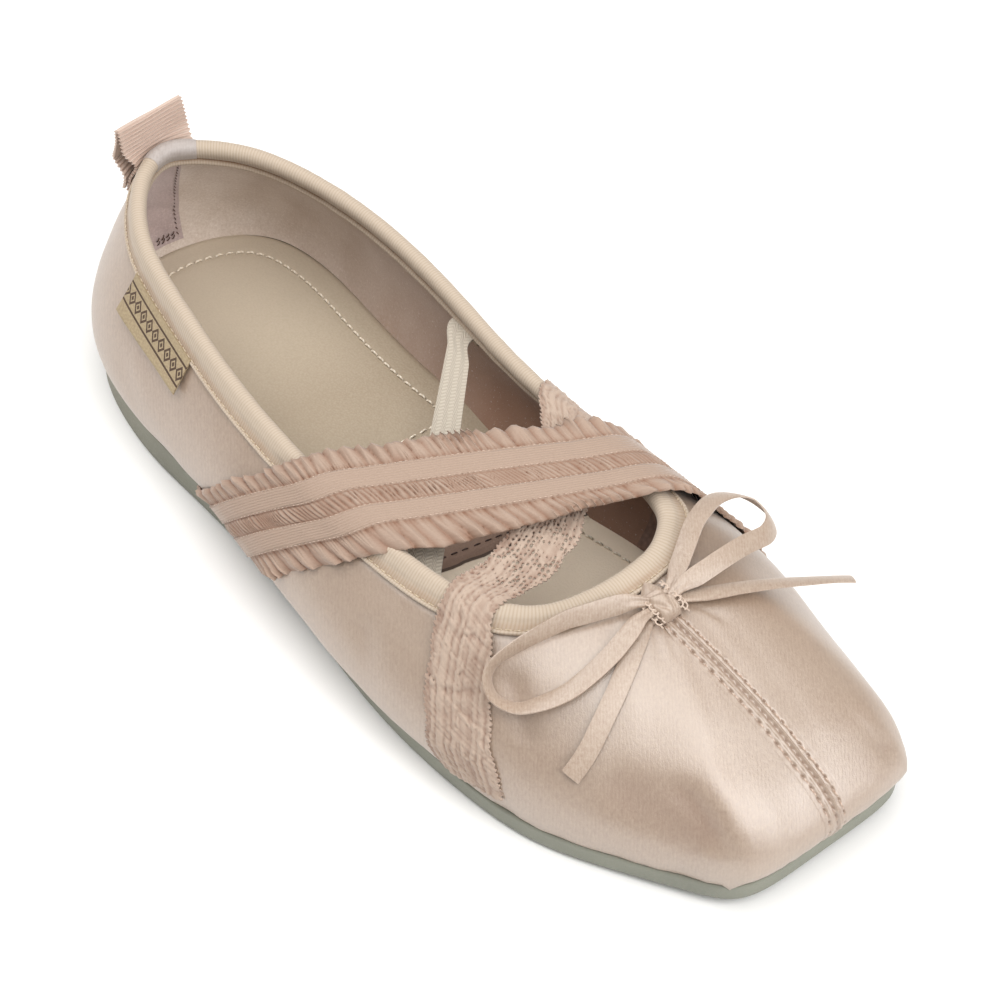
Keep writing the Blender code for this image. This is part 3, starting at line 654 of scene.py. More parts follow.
def ribbed(name, face, groove, pitch, depth, fibre, **values):
    """Grosgrain or bias tape: thick threads under the face make even ribs across the tape, pale on
    their crests and warm between, with a slight fuzz that keeps it matt."""
    material, tree, shader = new_material(name, **values)
    uv = add(tree, "TexCoord", out="UV")
    along = add(tree, "SeparateXYZ", {0: uv})
    flow = add(tree, "TexNoise", {"Vector": uv, "Scale": 0.12, "Detail": 1.0})
    sway = add(tree, "Math", {0: flow, 1: 0.5, 2: along}, operation="MULTIPLY_ADD")
    phase = add(tree, "Math", {0: sway, 1: 2 * np.pi / pitch}, operation="MULTIPLY")
    wave = add(tree, "Math", {0: phase}, operation="SINE")
    wave = add(tree, "MapRange", {0: wave, 1: -1.0, 2: 1.0, 3: 0.0, 4: 1.0})
    fuzz = add(tree, "TexNoise", {"Vector": uv, "Scale": fibre, "Detail": 4.0, "Roughness": 0.7})
    blend = add(tree, "Math", {0: fuzz, 1: 0.7, 2: wave}, operation="MULTIPLY_ADD")
    amount = add(tree, "MapRange", {0: blend, 1: 0.0, 2: 1.1, 3: 0.0, 4: 1.0})
    tone = add(tree, "Mix", {0: amount, 6: linear(groove), 7: linear(face)}, 2, data_type="RGBA")
    # Painted shade: browner where a mark says the tape lies in its groove or along its stitches
    crease_shade = add(tree, "Attribute", out="Fac", attribute_name="crease_shade")
    tone = add(tree, "Mix", {0: crease_shade, 6: tone, 7: linear("#85603F")}, 2, data_type="RGBA")
    height = add(tree, "Math", {0: wave, 1: depth}, operation="MULTIPLY")
    height = add(tree, "Math", {0: fuzz, 1: depth * 0.5, 2: height}, operation="MULTIPLY_ADD")
    rough = values["Roughness"]
    connect(tree, shader, tone, fuzz, (rough - 0.06, rough + 0.06), height)
    return material


def creased_knit(name, face, fold, cord_pitch, **values):
    """Elastic trim: fine cords run along it, and its colour goes darker and warmer in its gathers as
    painted shade, by a mark that says how deep in a fold the cloth lies."""
    material, tree, shader = new_material(name, **values)
    uv = add(tree, "TexCoord", out="UV")
    across = add(tree, "SeparateXYZ", {0: uv}, 1)
    crease_shade = add(tree, "Attribute", out="Fac", attribute_name="crease_shade")
    cords = add(tree, "Attribute", out="Fac", attribute_name="cords")
    phase = add(tree, "Math", {0: across, 1: 2 * np.pi / cord_pitch}, operation="MULTIPLY")
    wave = add(tree, "Math", {0: phase}, operation="SINE")
    wave = add(tree, "Math", {0: wave, 1: cords}, operation="MULTIPLY")
    fine = add(tree, "Mapping", {"Vector": uv, "Scale": (1.2, 3.5, 1.0)})
    fuzz = add(tree, "TexNoise", {"Vector": fine, "Scale": 1.0, "Detail": 4.0, "Roughness": 0.7})
    # Painted shade: the fold colour deepens with the mark's depth of fold
    tint = add(tree, "Math", {0: wave, 1: -0.05, 2: crease_shade}, operation="MULTIPLY_ADD")
    tint = add(tree, "Math", {0: fuzz, 1: 0.35, 2: tint}, operation="MULTIPLY_ADD")
    tint = add(tree, "MapRange", {0: tint, 1: 0.12, 2: 1.15, 3: 0.0, 4: 1.0})
    tone = add(tree, "Mix", {0: tint, 6: linear(face), 7: linear(fold)}, 2, data_type="RGBA")
    height = add(tree, "Math", {0: wave, 1: 0.04}, operation="MULTIPLY")
    height = add(tree, "Math", {0: fuzz, 1: 0.08, 2: height}, operation="MULTIPLY_ADD")
    rough = values["Roughness"]
    connect(tree, shader, tone, fuzz, (rough - 0.08, rough + 0.08), height)
    return material


def herringbone_elastic():
    """Woven rubber-core elastic: polyester threads slant one way and then the other in narrow
    stripes along the strap, which gives a matt face with a faint zigzag."""
    material, tree, shader = new_material("ivory_elastic", Roughness=0.75, Sheen_Weight=0.15)
    uv = add(tree, "TexCoord", out="UV")
    along = add(tree, "SeparateXYZ", {0: uv})
    # Stripes 1.6 mm wide hold slants 1.1 mm apart, drawn coarser than the real 0.5 mm to show
    stripe = add(tree, "Math", {0: along.node.outputs[1], 1: 1.6}, operation="PINGPONG")
    slant = add(tree, "Math", {0: stripe, 1: along}, operation="ADD")
    phase = add(tree, "Math", {0: slant, 1: 2 * np.pi / 1.1}, operation="MULTIPLY")
    wave = add(tree, "Math", {0: phase}, operation="SINE")
    fuzz = add(tree, "TexNoise", {"Vector": uv, "Scale": 2.5, "Detail": 3.0})
    blend = add(tree, "Math", {0: fuzz, 1: 1.2, 2: wave}, operation="MULTIPLY_ADD")
    amount = add(tree, "MapRange", {0: blend, 1: -0.6, 2: 1.8, 3: 0.0, 4: 1.0})
    tone = add(tree, "Mix", {0: amount, 6: linear("#A99E8F"), 7: linear("#BDB4A6")}, 2,
               data_type="RGBA")
    height = add(tree, "Math", {0: wave, 1: 0.05}, operation="MULTIPLY")
    connect(tree, shader, tone, fuzz, (0.68, 0.82), height)
    return material


def leatherette(name, face, shade, grain_mm, tint=None, **values):
    """Coated leatherette: a pressed pebble grain on a fabric back, soft and nearly matt, a little
    darker in the valleys of its grain and in faint clouds; a tint, where given, lays more tones over
    it."""
    material, tree, shader = new_material(name, **values)
    mm = millimetres(tree)
    grain = add(tree, "TexVoronoi", {"Vector": mm, "Scale": 1 / grain_mm}, feature="F1")
    speck = add(tree, "TexNoise", {"Vector": mm, "Scale": 0.9 / grain_mm, "Detail": 4.0})
    cloud = add(tree, "TexNoise", {"Vector": mm, "Scale": 0.03, "Detail": 2.0})
    blend = add(tree, "Math", {0: speck, 1: 0.5, 2: grain}, operation="MULTIPLY_ADD")
    blend = add(tree, "Math", {0: cloud, 1: 0.5, 2: blend}, operation="MULTIPLY_ADD")
    amount = add(tree, "MapRange", {0: blend, 1: 0.5, 2: 1.3, 3: 0.0, 4: 1.0})
    tone = add(tree, "Mix", {0: amount, 6: linear(face), 7: linear(shade)}, 2, data_type="RGBA")
    if tint is not None:
        tone = tint(tree, mm, tone)
    height = add(tree, "Math", {0: grain, 1: -0.06}, operation="MULTIPLY")
    height = add(tree, "Math", {0: speck, 1: 0.05, 2: height}, operation="MULTIPLY_ADD")
    rough = values["Roughness"]
    connect(tree, shader, tone, speck, (rough - 0.06, rough + 0.08), height)
    return material


def sock_tints(tree, mm, tone):
    """Tints on the insole: painted light paler at the heel, painted shadow of the straps browner
    where the sock ends, painted shade dark along its step, and pale on the forepart in front of it."""
    across = add(tree, "SeparateXYZ", {0: mm})
    along = add(tree, "Math", {0: across, 1: -SOCK_SLOPE, 2: across.node.outputs[1]},
                operation="MULTIPLY_ADD")
    end = SOCK_END - HEEL_SEAT
    # Painted light paler at the heel, painted shadow browner towards the sock's end, and a thin dark
    # line of painted shade at its step
    heel = add(tree, "MapRange", {0: along, 1: -40.0, 2: 30.0, 3: 0.6, 4: 0.0})
    brown_and_shade = add(tree, "MapRange", {0: along, 1: end - 26, 2: end - 4, 3: 0.0, 4: 0.85})
    fore = add(tree, "MapRange", {0: along, 1: end + 0.2, 2: end + 0.8, 3: 0.0, 4: 1.0})
    step_shade = add(tree, "Math", {0: along, 1: end + 0.2, 2: 0.32}, operation="COMPARE")
    for amount, tint in ((heel, "#D6CAB8"), (brown_and_shade, "#86695A"), (fore, "#F6E6D0"), (step_shade, "#57463A")):
        tone = add(tree, "Mix", {0: amount, 6: tone, 7: linear(tint)}, 2, data_type="RGBA")
    return tone


def microfibre(name, face, shade, glint):
    """Brushed microfibre lining: a short nap of fine fibres, mottled where it was stroked, with
    small bright specks where fibres catch the light, and darker and browner towards the front,
    partly its own browner colour and partly painted shade where it runs in under the vamp."""
    material, tree, shader = new_material(name, Roughness=0.85, Sheen_Weight=0.35,
                                          Sheen_Roughness=0.5)
    mm = millimetres(tree)
    nap = add(tree, "TexNoise", {"Vector": mm, "Scale": 1.6, "Detail": 5.0, "Roughness": 0.75})
    cloud = add(tree, "TexNoise", {"Vector": mm, "Scale": 0.07, "Detail": 3.0})
    amount = add(tree, "Math", {0: cloud, 1: 0.8, 2: nap}, operation="MULTIPLY_ADD")
    amount = add(tree, "MapRange", {0: amount, 1: 0.6, 2: 1.2, 3: 0.0, 4: 1.0})
    tone = add(tree, "Mix", {0: amount, 6: linear(shade), 7: linear(face)}, 2, data_type="RGBA")
    forward = add(tree, "SeparateXYZ", {0: mm}, 1)
    # Darker and browner towards the front: partly the lining's own colour, partly painted shade under
    # the vamp
    brown_and_shade = add(tree, "MapRange", {0: forward, 1: -36.0, 2: 62.0, 3: 0.0, 4: 0.92})
    tone = add(tree, "Mix", {0: brown_and_shade, 6: tone, 7: linear("#855F48")}, 2, data_type="RGBA")
    specks = add(tree, "MapRange", {0: nap, 1: 0.62, 2: 0.72, 3: 0.0, 4: 0.7})
    tone = add(tree, "Mix", {0: specks, 6: tone, 7: linear(glint)}, 2, data_type="RGBA")
    height = add(tree, "Math", {0: nap, 1: 0.12}, operation="MULTIPLY")
    connect(tree, shader, tone, nap, (0.75, 0.92), height)
    return material


def moulded_rubber():
    """Moulded thermoplastic rubber: one even grey-green body with a satin mould skin, faint flow
    clouds, a fine spark-eroded grain, and darker and warmer towards the heel."""
    material, tree, shader = new_material("sole_rubber", Roughness=0.6)
    mm = millimetres(tree)
    grain = add(tree, "TexNoise", {"Vector": mm, "Scale": 1.8, "Detail": 4.0})
    cloud = add(tree, "TexNoise", {"Vector": mm, "Scale": 0.05, "Detail": 3.0})
    amount = add(tree, "MapRange", {0: cloud, 1: 0.35, 2: 0.7, 3: 0.0, 4: 1.0})
    tone = add(tree, "Mix", {0: amount, 6: linear("#7E7F74"), 7: linear("#8A8B7E")}, 2,
               data_type="RGBA")
    forward = add(tree, "SeparateXYZ", {0: mm}, 1)
    rear = add(tree, "MapRange", {0: forward, 1: -40.0, 2: 60.0, 3: 0.75, 4: 0.0})
    tone = add(tree, "Mix", {0: rear, 6: tone, 7: linear("#746E5C")}, 2, data_type="RGBA")
    height = add(tree, "Math", {0: grain, 1: 0.05}, operation="MULTIPLY")
    connect(tree, shader, tone, grain, (0.5, 0.68), height)
    return material


def spun_thread(name, face, shade):
    """Polyester sewing thread: two plies twisted together, which show as fine slanting lines with
    a soft shine on each stitch."""
    material, tree, shader = new_material(name, Roughness=0.5, Sheen_Weight=0.1)
    uv = add(tree, "TexCoord", out="UV")
    # Plies 1.1 mm apart, coarser than the real twist, which would not show
    wave = add(tree, "TexWave", {"Vector": uv, "Scale": 0.55, "Distortion": 0.4},
               bands_direction="DIAGONAL")
    tone = add(tree, "Mix", {0: wave, 6: linear(shade), 7: linear(face)}, 2, data_type="RGBA")
    height = add(tree, "Math", {0: wave, 1: 0.05}, operation="MULTIPLY")
    connect(tree, shader, tone, wave, (0.6, 0.45), height, (0.0, 1.0))
    return material


def woven_label():
    """Damask label: khaki-gold warp with a brown weft that comes up in a row of small lozenges
    between two thin border lines; the crossings give it a fine dry grain."""
    material, tree, shader = new_material("woven_label", Roughness=0.75, Sheen_Weight=0.1)
    uv = add(tree, "TexCoord", out="UV")
    along = add(tree, "SeparateXYZ", {0: uv})
    down = along.node.outputs[1]
    # Threads 0.45 mm apart, drawn coarser than the real 0.15 mm
    waves = []
    for place in (along, down):
        phase = add(tree, "Math", {0: place, 1: 2 * np.pi / 0.45}, operation="MULTIPLY")
        waves.append(add(tree, "Math", {0: phase}, operation="SINE"))
    weave = add(tree, "Math", {0: waves[0], 1: waves[1]}, operation="MULTIPLY")
    fuzz = add(tree, "TexNoise", {"Vector": uv, "Scale": 1.5, "Detail": 4.0})
    blend = add(tree, "Math", {0: weave, 1: 0.3, 2: fuzz}, operation="MULTIPLY_ADD")
    amount = add(tree, "MapRange", {0: blend, 1: 0.2, 2: 0.8, 3: 0.0, 4: 1.0})
    tone = add(tree, "Mix", {0: amount, 6: linear("#8F7B5F"), 7: linear("#B5A382")}, 2,
               data_type="RGBA")
    # Lozenges a pitch apart along the middle, and a line 2.7 mm to each side of it
    step = add(tree, "Math", {0: along, 1: LOZENGE_PITCH / 2}, operation="PINGPONG")
    aside = add(tree, "Math", {0: down, 1: LABEL_MIDDLE}, operation="SUBTRACT")
    aside = add(tree, "Math", {0: aside}, operation="ABSOLUTE")
    reach = add(tree, "Math", {0: aside, 1: 0.8, 2: step}, operation="MULTIPLY_ADD")
    lozenge = add(tree, "Math", {0: reach, 1: 1.35, 2: 0.36}, operation="COMPARE")
    core = add(tree, "Math", {0: reach, 1: 0.55}, operation="LESS_THAN")
    line = add(tree, "Math", {0: aside, 1: 2.7, 2: 0.3}, operation="COMPARE")
    figure = add(tree, "Math", {0: lozenge, 1: core}, operation="MAXIMUM")
    figure = add(tree, "Math", {0: figure, 1: line}, operation="MAXIMUM")
    tone = add(tree, "Mix", {0: figure, 6: tone, 7: linear("#4A3423")}, 2, data_type="RGBA")
    height = add(tree, "Math", {0: weave, 1: 0.03}, operation="MULTIPLY")
    height = add(tree, "Math", {0: figure, 1: 0.05, 2: height}, operation="MULTIPLY_ADD")
    connect(tree, shader, tone, fuzz, (0.7, 0.85), height)
    return material


def studio_floor():
    """Matt painted board: off-white, with only a trace of cloudiness."""
    material, tree, shader = new_material("studio_floor", Roughness=0.9)
    place = add(tree, "TexCoord", out="Object")
    cloud = add(tree, "TexNoise", {"Vector": place, "Scale": 3.0, "Detail": 2.0})
    tone = add(tree, "Mix", {0: cloud, 6: linear("#F4F4F4"), 7: linear("#F7F7F6")}, 2,
               data_type="RGBA")
    connect(tree, shader, tone, cloud, (0.88, 0.95))
    return material


# --- Upper -------------------------------------------------------------------------------------

SATIN_RUN = np.radians(41)  # the satin's floats, from +Y towards the outer side
SATIN_ROWS = 440
SATIN_COLUMNS = 84
SEAM_ZONE = (13.9, 15.95)  # ribs between which the toe seam lies, with closer rows
SEAM_ROW = 0.05  # part of a rib between those rows
SATIN_TOP = 2.6  # the satin starts this far down, under the binding
SATIN_THICK = 0.9
SEAM_START = 12.0  # the finely made strip starts this far down, under the knot
SEAM_HALF = 3.6  # half its width
SEAM_GRID = (49, 330)  # points across and down it
SEAM_ROWS = 2.2  # the needle rows lie this far to each side of the seam
SEAM_PITCH = 3.0
# Down the toe, and how far the seam bows there to the outer side
SEAM_DRIFT = ((12, 2.7), (30, 2.15), (46, 1.45), (57, 1.1), (64, 0.5), (70, 0.1))

# Troughs (-) and ridges (+) of the satin: places (rib, down), width, height in mm
CREASES = {
    "toe_shoulder": (((10.9, 38), (11.4, 46), (11.9, 54), (12.3, 61), (12.6, 67)), 9.0, -0.9),
    "toe_shoulder_deep": (((11.9, 46), (12.3, 52), (12.55, 58), (12.7, 64), (12.8, 70)), 4.0, -0.7),
    "corner_crest": (((12.98, 44), (13.08, 54), (13.18, 66), (13.24, 78)), 3.2, 0.6),
    "front_swell": (((13.7, 52), (13.7, 62), (13.65, 70), (13.6, 78)), 6.0, 0.4),
    "toe_foot": (((12.7, 77), (13.5, 76), (14.2, 75), (15.0, 75), (16.0, 76), (16.8, 78)), 6.0, 0.9),
    "medial_crest": (((16.8, 52), (16.76, 62), (16.7, 78)), 2.6, 0.5),
    "medial_tuck": (((16.6, 62), (16.56, 70), (16.52, 78)), 0.8, -0.8),
    "knot_pull_1": (((14.0, 15), (13.75, 19), (13.5, 25)), 1.3, -0.22),
    "knot_pull_2": (((13.6, 14), (13.2, 18), (12.8, 24)), 1.5, -0.25),
    "knot_pull_3": (((15.6, 15), (15.95, 19), (16.2, 24)), 1.4, -0.2),
    "knot_pull_4": (((16.1, 13), (16.7, 17), (17.2, 22)), 1.5, -0.2),
    "ball_fold": (((9.6, 12), (9.9, 22), (10.1, 32)), 4.0, -0.5),
    "quarter_fold": (((7.6, 14), (7.9, 24), (8.1, 36)), 6.0, -0.4),
    "heel_fold": (((3.2, 22), (3.8, 30), (4.8, 36)), 6.0, -0.35),
}
SOLE_DOWN = 76  # a crease whose last place is lower than this runs on to the sole


def satin_ribs():
    rib, _ = even_ribs(middle_line, SATIN_ROWS)
    outside = rib[(rib < SEAM_ZONE[0]) | (rib > SEAM_ZONE[1])]
    return np.sort(np.concatenate([outside, np.arange(*SEAM_ZONE, SEAM_ROW)]))


def seam_middle(down):
    """How far the toe seam lies to the outer side of the shoe's middle, at a distance down."""
    return np.interp(down, *np.array(SEAM_DRIFT, float).T)


def seam_relief(across, turn):
    """Height and depth of shade of the pressed-open toe seam: a narrow furrow where the panels
    meet, a fine roll on its inner side, soft lips, and puckers out to a row of needle holes on
    each side."""
    aside = np.abs(across)
    row = bump(aside, SEAM_ROWS, 0.34)
    pull = 0.5 + 0.5 * np.cos(2 * np.pi * turn)
    ruck = wander(turn * 2.5 + across * 0.4, 1.0, 72)
    furrow = bump(across, 0, 0.42) * (0.75 + 0.35 * np.cos(2 * np.pi * turn * 1.5 + 1))
    roll = 0.34 * bump(across, -0.72, 0.34) + 0.2 * bump(across, 0.75, 0.5)
    lips = 0.26 * bump(aside, 1.5, 0.62)
    puckers = (0.12 * np.cos(2 * np.pi * turn + 2.4) + 0.10 * ruck) * bump(aside, SEAM_ROWS - 0.3, 0.9)
    hole = row * pull**6
    height = lips + roll - 0.42 * furrow + puckers - 0.10 * row - 0.55 * hole
    shade = 0.7 * furrow + 0.6 * hole + 0.12 * row + 0.25 * bump(across, -1.15, 0.25)
    fade = 1 - ease(aside, SEAM_HALF - 0.9, SEAM_HALF - 0.1)
    return height * fade, np.clip(shade * fade, 0, 1)


def crease_relief(point):
    """Troughs and ridges as listed, which fade in and out at their ends, but run on to the sole
    where they reach it."""
    relief = np.zeros(point.shape[:-1])
    for places, width, height in CREASES.values():
        gap, place = distance_to(point, np.array([wall(rib, down) for rib, down in places]))
        if places[-1][1] > SOLE_DOWN:
            share = ease(place, 0, 0.5)
        else:
            share = ease(place, 0, 0.25) * ease(place, 1.02, 0.8)
        relief += height * bump(gap, 0, width) * share
    return relief


def satin_relief(point, rib, down, length):
    """How far the satin stands off the last's wall, in mm, and how much painted shade darkens it in
    its troughs.
    """
    around = rib * RIB_STEP
    relief = 0.10 * wander(around + down * 0.5, 9, 3) + 0.08 * wander(down * 1.3 - rib * 9, 12, 5)
    creases = crease_relief(point)
    relief += creases
    # Drawn in under the binding's stitches, and pulled unevenly where it is lasted to the sole
    near = 1 - ease(down, 5.5, 12.5)
    relief += 0.13 * near * wander(around, 3.2, 8) - 0.25 * bump(down, 5.6, 1.2)
    pulled = 0.14 * wander(around, 3.0, 12) + 0.18 * wander(around, 9.0, 13)
    relief += pulled * ease(down, length - 7, length - 2)
    tuck = np.clip((down - length + 1.6) / 1.6, 0, 1)
    return relief - 0.3 * tuck**2, np.clip(-creases - 0.25, 0, 1) * 0.42


def build_satin(material):
    rib = satin_ribs()
    length = wall_length(rib)[:, None]
    share = np.linspace(0, 1, SATIN_COLUMNS)[None, :]
    down = SATIN_TOP + (length - SATIN_TOP) * share
    rib = rib[:, None] + 0 * down
    point, _, out = wall_frame(rib, down)
    relief, crease_shade = satin_relief(point, rib, down, length)
    # Under the finely made strip along the toe seam the satin lies lower
    toe = ease(down, SEAM_START + 0.4, SEAM_START + 1.6) * (np.abs(rib - 15) < 1.5)
    aside = np.abs(point[..., 0] - seam_middle(down))
    relief -= 0.6 * toe * (1 - ease(aside, SEAM_HALF - 1.3, SEAM_HALF - 0.3))
    outer = point + out * relief[..., None]
    outer = lower_edge(outer, rib, down, length, out)
    inner = outer - grid_normals(outer, True) * SATIN_THICK
    return shell("satin_upper", outer, inner, material, "upper", True,
                 grid_uv(outer, True), {"crease_shade": crease_shade})


def lower_edge(outer, rib, down, length, out):
    """The satin's lower edge settles on the sole, and hangs over it at the outer toe corner."""
    lip = bump(rib, 12.86, 0.16) * ease(down, length - 5, length)
    settle = 0.45 * ease(down, length - 2.5, length)
    return outer - UP * (1.1 * lip + settle)[..., None] + out * (0.5 * lip + 0.3 * settle)[..., None]


ROLL_IN = 11.0  # the medial lining stands this far in at the insole
ROLL_HEIGHT = 17.0  # and meets the wall this far above it
LINING_GRID = (280, 28)  # points round the shoe and down it
LINING_TOP = 1.4
LINING_BACK = 1.05  # its back and face lie this far in from the wall's outer face
LINING_FACE = 1.95


def roll_in(point, out, rib):
    """How the medial lining leaves the wall low down and curves in over the insole."""
    above = np.clip((point[..., 2] - insole_top(point[..., 1])) / ROLL_HEIGHT, 0, 1)
    side = ease(rib, 15.5, 17.2) * (1 - ease(rib, 22.8, 25.0))
    return unit(out * (1, 1, 0)) * (ROLL_IN * side * (1 - above) ** 2)[..., None]


def build_lining(material):
    rib, _ = even_ribs(middle_line, LINING_GRID[0])
    length = wall_length(rib)[:, None]
    down = LINING_TOP + (length - LINING_TOP) * np.linspace(0, 1, LINING_GRID[1])
    rib = rib[:, None] + 0 * down
    point, _, out = wall_frame(rib, down)
    wave = 0.12 * wander(rib * RIB_STEP + down, 11, 31)
    sunk = np.minimum(crease_relief(point), 0)
    back = point - out * (LINING_BACK - sunk)[..., None]
    face = point - out * (LINING_FACE - sunk - np.maximum(wave, 0))[..., None]
    face = face - roll_in(point, out, rib)
    return shell("lining", back, face, material, None, True,
                 grid_uv(back, True))


def patch_inside(name, ribs, downs, thick, counts, material, edge_wave, rolled=False):
    """A piece of lining on the inside of the wall, between two ribs and two distances down."""
    rib = np.linspace(*ribs, counts[0])[:, None]
    low = np.minimum(downs[1], wall_length(rib[:, 0])[:, None] - 0.8)
    down = downs[0] + (low - downs[0]) * np.linspace(0, 1, counts[1])
    rib = rib + 0 * down
    point, _, out = wall_frame(rib, down)
    swell = edge_wave * wander(down * 1.1 + rib * 13, 5, 44)
    if rolled:
        point = point - roll_in(point, out, rib)
    face = point - out * (WALL + thick + swell)[..., None]
    return shell(name, point - out * WALL, face, material, uv=grid_uv(face))


def sew_inside(name, ribs, downs, off, pitch, radius, material, **stitch):
    """A row of stitches on the lining, between two ribs and two distances down."""
    share = np.linspace(0, 1, 60)
    rib = ribs[0] + (ribs[1] - ribs[0]) * share
    down = downs[0] + (downs[1] - downs[0]) * share
    point, _, out = wall_frame(rib, down)
    sew(name, point - out * off, -out, pitch, radius, material, "insole_leather", **stitch)


def build_inner_pieces(counter, vamp, dark_thread):
    """Heel counter strip and vamp lining inside the shoe, with their dark stitches."""
    patch_inside("heel_counter_lining", (-0.52, 0.52), (2.6, 43.5), 0.3, (40, 60), counter, 0.28)
    for side, rib in (("lateral", 0.44), ("medial", -0.44)):
        sew_inside("counter_stitches_" + side, (rib, rib), (4.5, 42), 2.34, 1.6, 0.13, dark_thread,
                   fill=0.55, rise=0.15, sway=0.2, seed=50)
    for place, down in (("upper", 40.6), ("lower", 41.8)):
        sew_inside("counter_zigzag_" + place, (-0.40, -0.05), (down, down), 2.36, 1.2, 0.17,
                   dark_thread, fill=0.9, rise=0.3, sway=0.5, seed=53)
    patch_inside("vamp_lining", (9.15, 22.0), (2.2, 90), 0.35, (150, 36), vamp, 0.12, True)
    for side, rib in (("lateral", 9.22), ("medial", 21.9)):
        sew_inside("vamp_lining_stitches_" + side, (rib, rib), (4.0, float(wall_length(rib)) - 3),
                   2.4, 2.6, 0.2, dark_thread, seed=60)


def seam_grid(across, downs):
    """Ribs, places and directions on the wall, by distance across the toe seam and down it."""
    ribs = np.linspace(*SEAM_ZONE, 120)
    rib, down = np.broadcast_arrays(ribs[:, None], np.asarray(downs)[None, :])
    point, _, out = wall_frame(rib, down)
    found = np.stack([np.interp(-across - seam_middle(d), -point[:, k, 0], np.arange(len(ribs)))
                      for k, d in enumerate(downs)], 1)
    low = np.clip(found.astype(int), 0, len(ribs) - 2)
    part = (found - low)[..., None]
    k = np.arange(len(downs))[None, :]
    place = point[low, k] * (1 - part) + point[low + 1, k] * part
    way = unit(out[low, k] * (1 - part) + out[low + 1, k] * part)
    return np.interp(found, np.arange(len(ribs)), ribs), place, way


def build_seam(material, thread):
    """The strip of satin along the toe seam, made finely enough for its puckers, and its stitches."""
    length = float(wall_length(15.0))
    downs = np.linspace(SEAM_START, length, SEAM_GRID[1])
    across = np.linspace(-SEAM_HALF, SEAM_HALF, SEAM_GRID[0])
    rib, point, out = seam_grid(across, downs)
    down = downs[None, :] + 0 * rib
    run = run_along(point[len(across) // 2])
    count = int(run[-1] / SEAM_PITCH)
    turn = run / run[-1] * count + 0 * down
    relief, crease_shade = satin_relief(point, rib, down, wall_length(rib[:, -1])[:, None])
    height, shade = seam_relief(across[:, None] + 0 * down, turn)
    outer = point + out * (relief + height + 0.03)[..., None]
    outer = lower_edge(outer, rib, down, length, out)
    shell("toe_seam_strip", outer[::-1], (outer - out * 0.4)[::-1], material,
          uv=grid_uv(outer[::-1]), marks={"crease_shade": np.clip(crease_shade + shade, 0, 1)[::-1]})
    at = (np.arange(count) + 0.5) / count * run[-1]
    half = SEAM_PITCH * 0.36
    for side, place in (("lateral", SEAM_ROWS), ("medial", -SEAM_ROWS)):
        row = np.argmin(np.abs(across - place))
        places = np.column_stack([run, outer[row], out[row]])
        first, last = smooth(at - half, places), smooth(at + half, places)
        threads("toe_seam_stitches_" + side, first[:, :3], last[:, :3], first[:, 3:], 0.17, thread,
                rise=0.16, dive=0.8)


# --- Binding, sole and insole ------------------------------------------------------------------

BINDING_ROWS = 560
BINDING_STITCHES = (4.45, 2.5)  # how far down its stitches run outside and inside
# Cross-section of the tape's face: turn round the top edge, or distance down and height off the
# wall, from the inner leg's end over the top to the outer leg's end
INNER_LEG = (
    (4.7, 0.25), (4.7, 0.9), (4.5, 1.4), (4.1, 1.75), (3.6, 1.8), (3.15, 1.5), (2.9, 0.9),
    (2.65, 0.5), (2.35, 0.55), (1.95, 0.95), (1.4, 1.1), (0.9, 1.1),
)
TOP_TURNS = (180, 168, 156, 144, 132, 120, 108, 96, 84, 72, 60, 48, 36, 24, 12, 0)
OUTER_LEG = (
    (0.5, 1.12), (1.0, 1.12), (1.5, 1.08), (1.9, 0.98), (2.2, 0.85), (2.6, 0.74), (3.0, 0.70),
    (3.4, 0.70), (3.8, 0.70), (4.15, 0.66), (4.45, 0.58), (4.7, 0.80), (4.95, 0.98), (5.2, 1.0),
    (5.4, 0.88), (5.55, 0.6), (5.58, 0.3),
)
ROLL = 2.12  # radius of the tape's face round the top edge
TAPE_BACK = 1.35  # radius of its back there
RIM_LENGTH = 420  # round the top edge, roughly


def tape_grid(rib, inner_leg, radius, outer_leg):
    """Lines round the shoe on the tape, from the inner leg's end over the top to the outer leg's."""
    point, up, out = wall_frame(rib, 0)
    centre = point - out * WALL / 2
    turns = np.radians(TOP_TURNS)
    inside = [wall(rib, down, off) for down, off in inner_leg]
    over = [centre + (np.cos(turn) * out + np.sin(turn) * up) * radius for turn in turns]
    outside = [wall(rib, down, off) for down, off in outer_leg]
    return np.stack(inside + over + outside, 1)


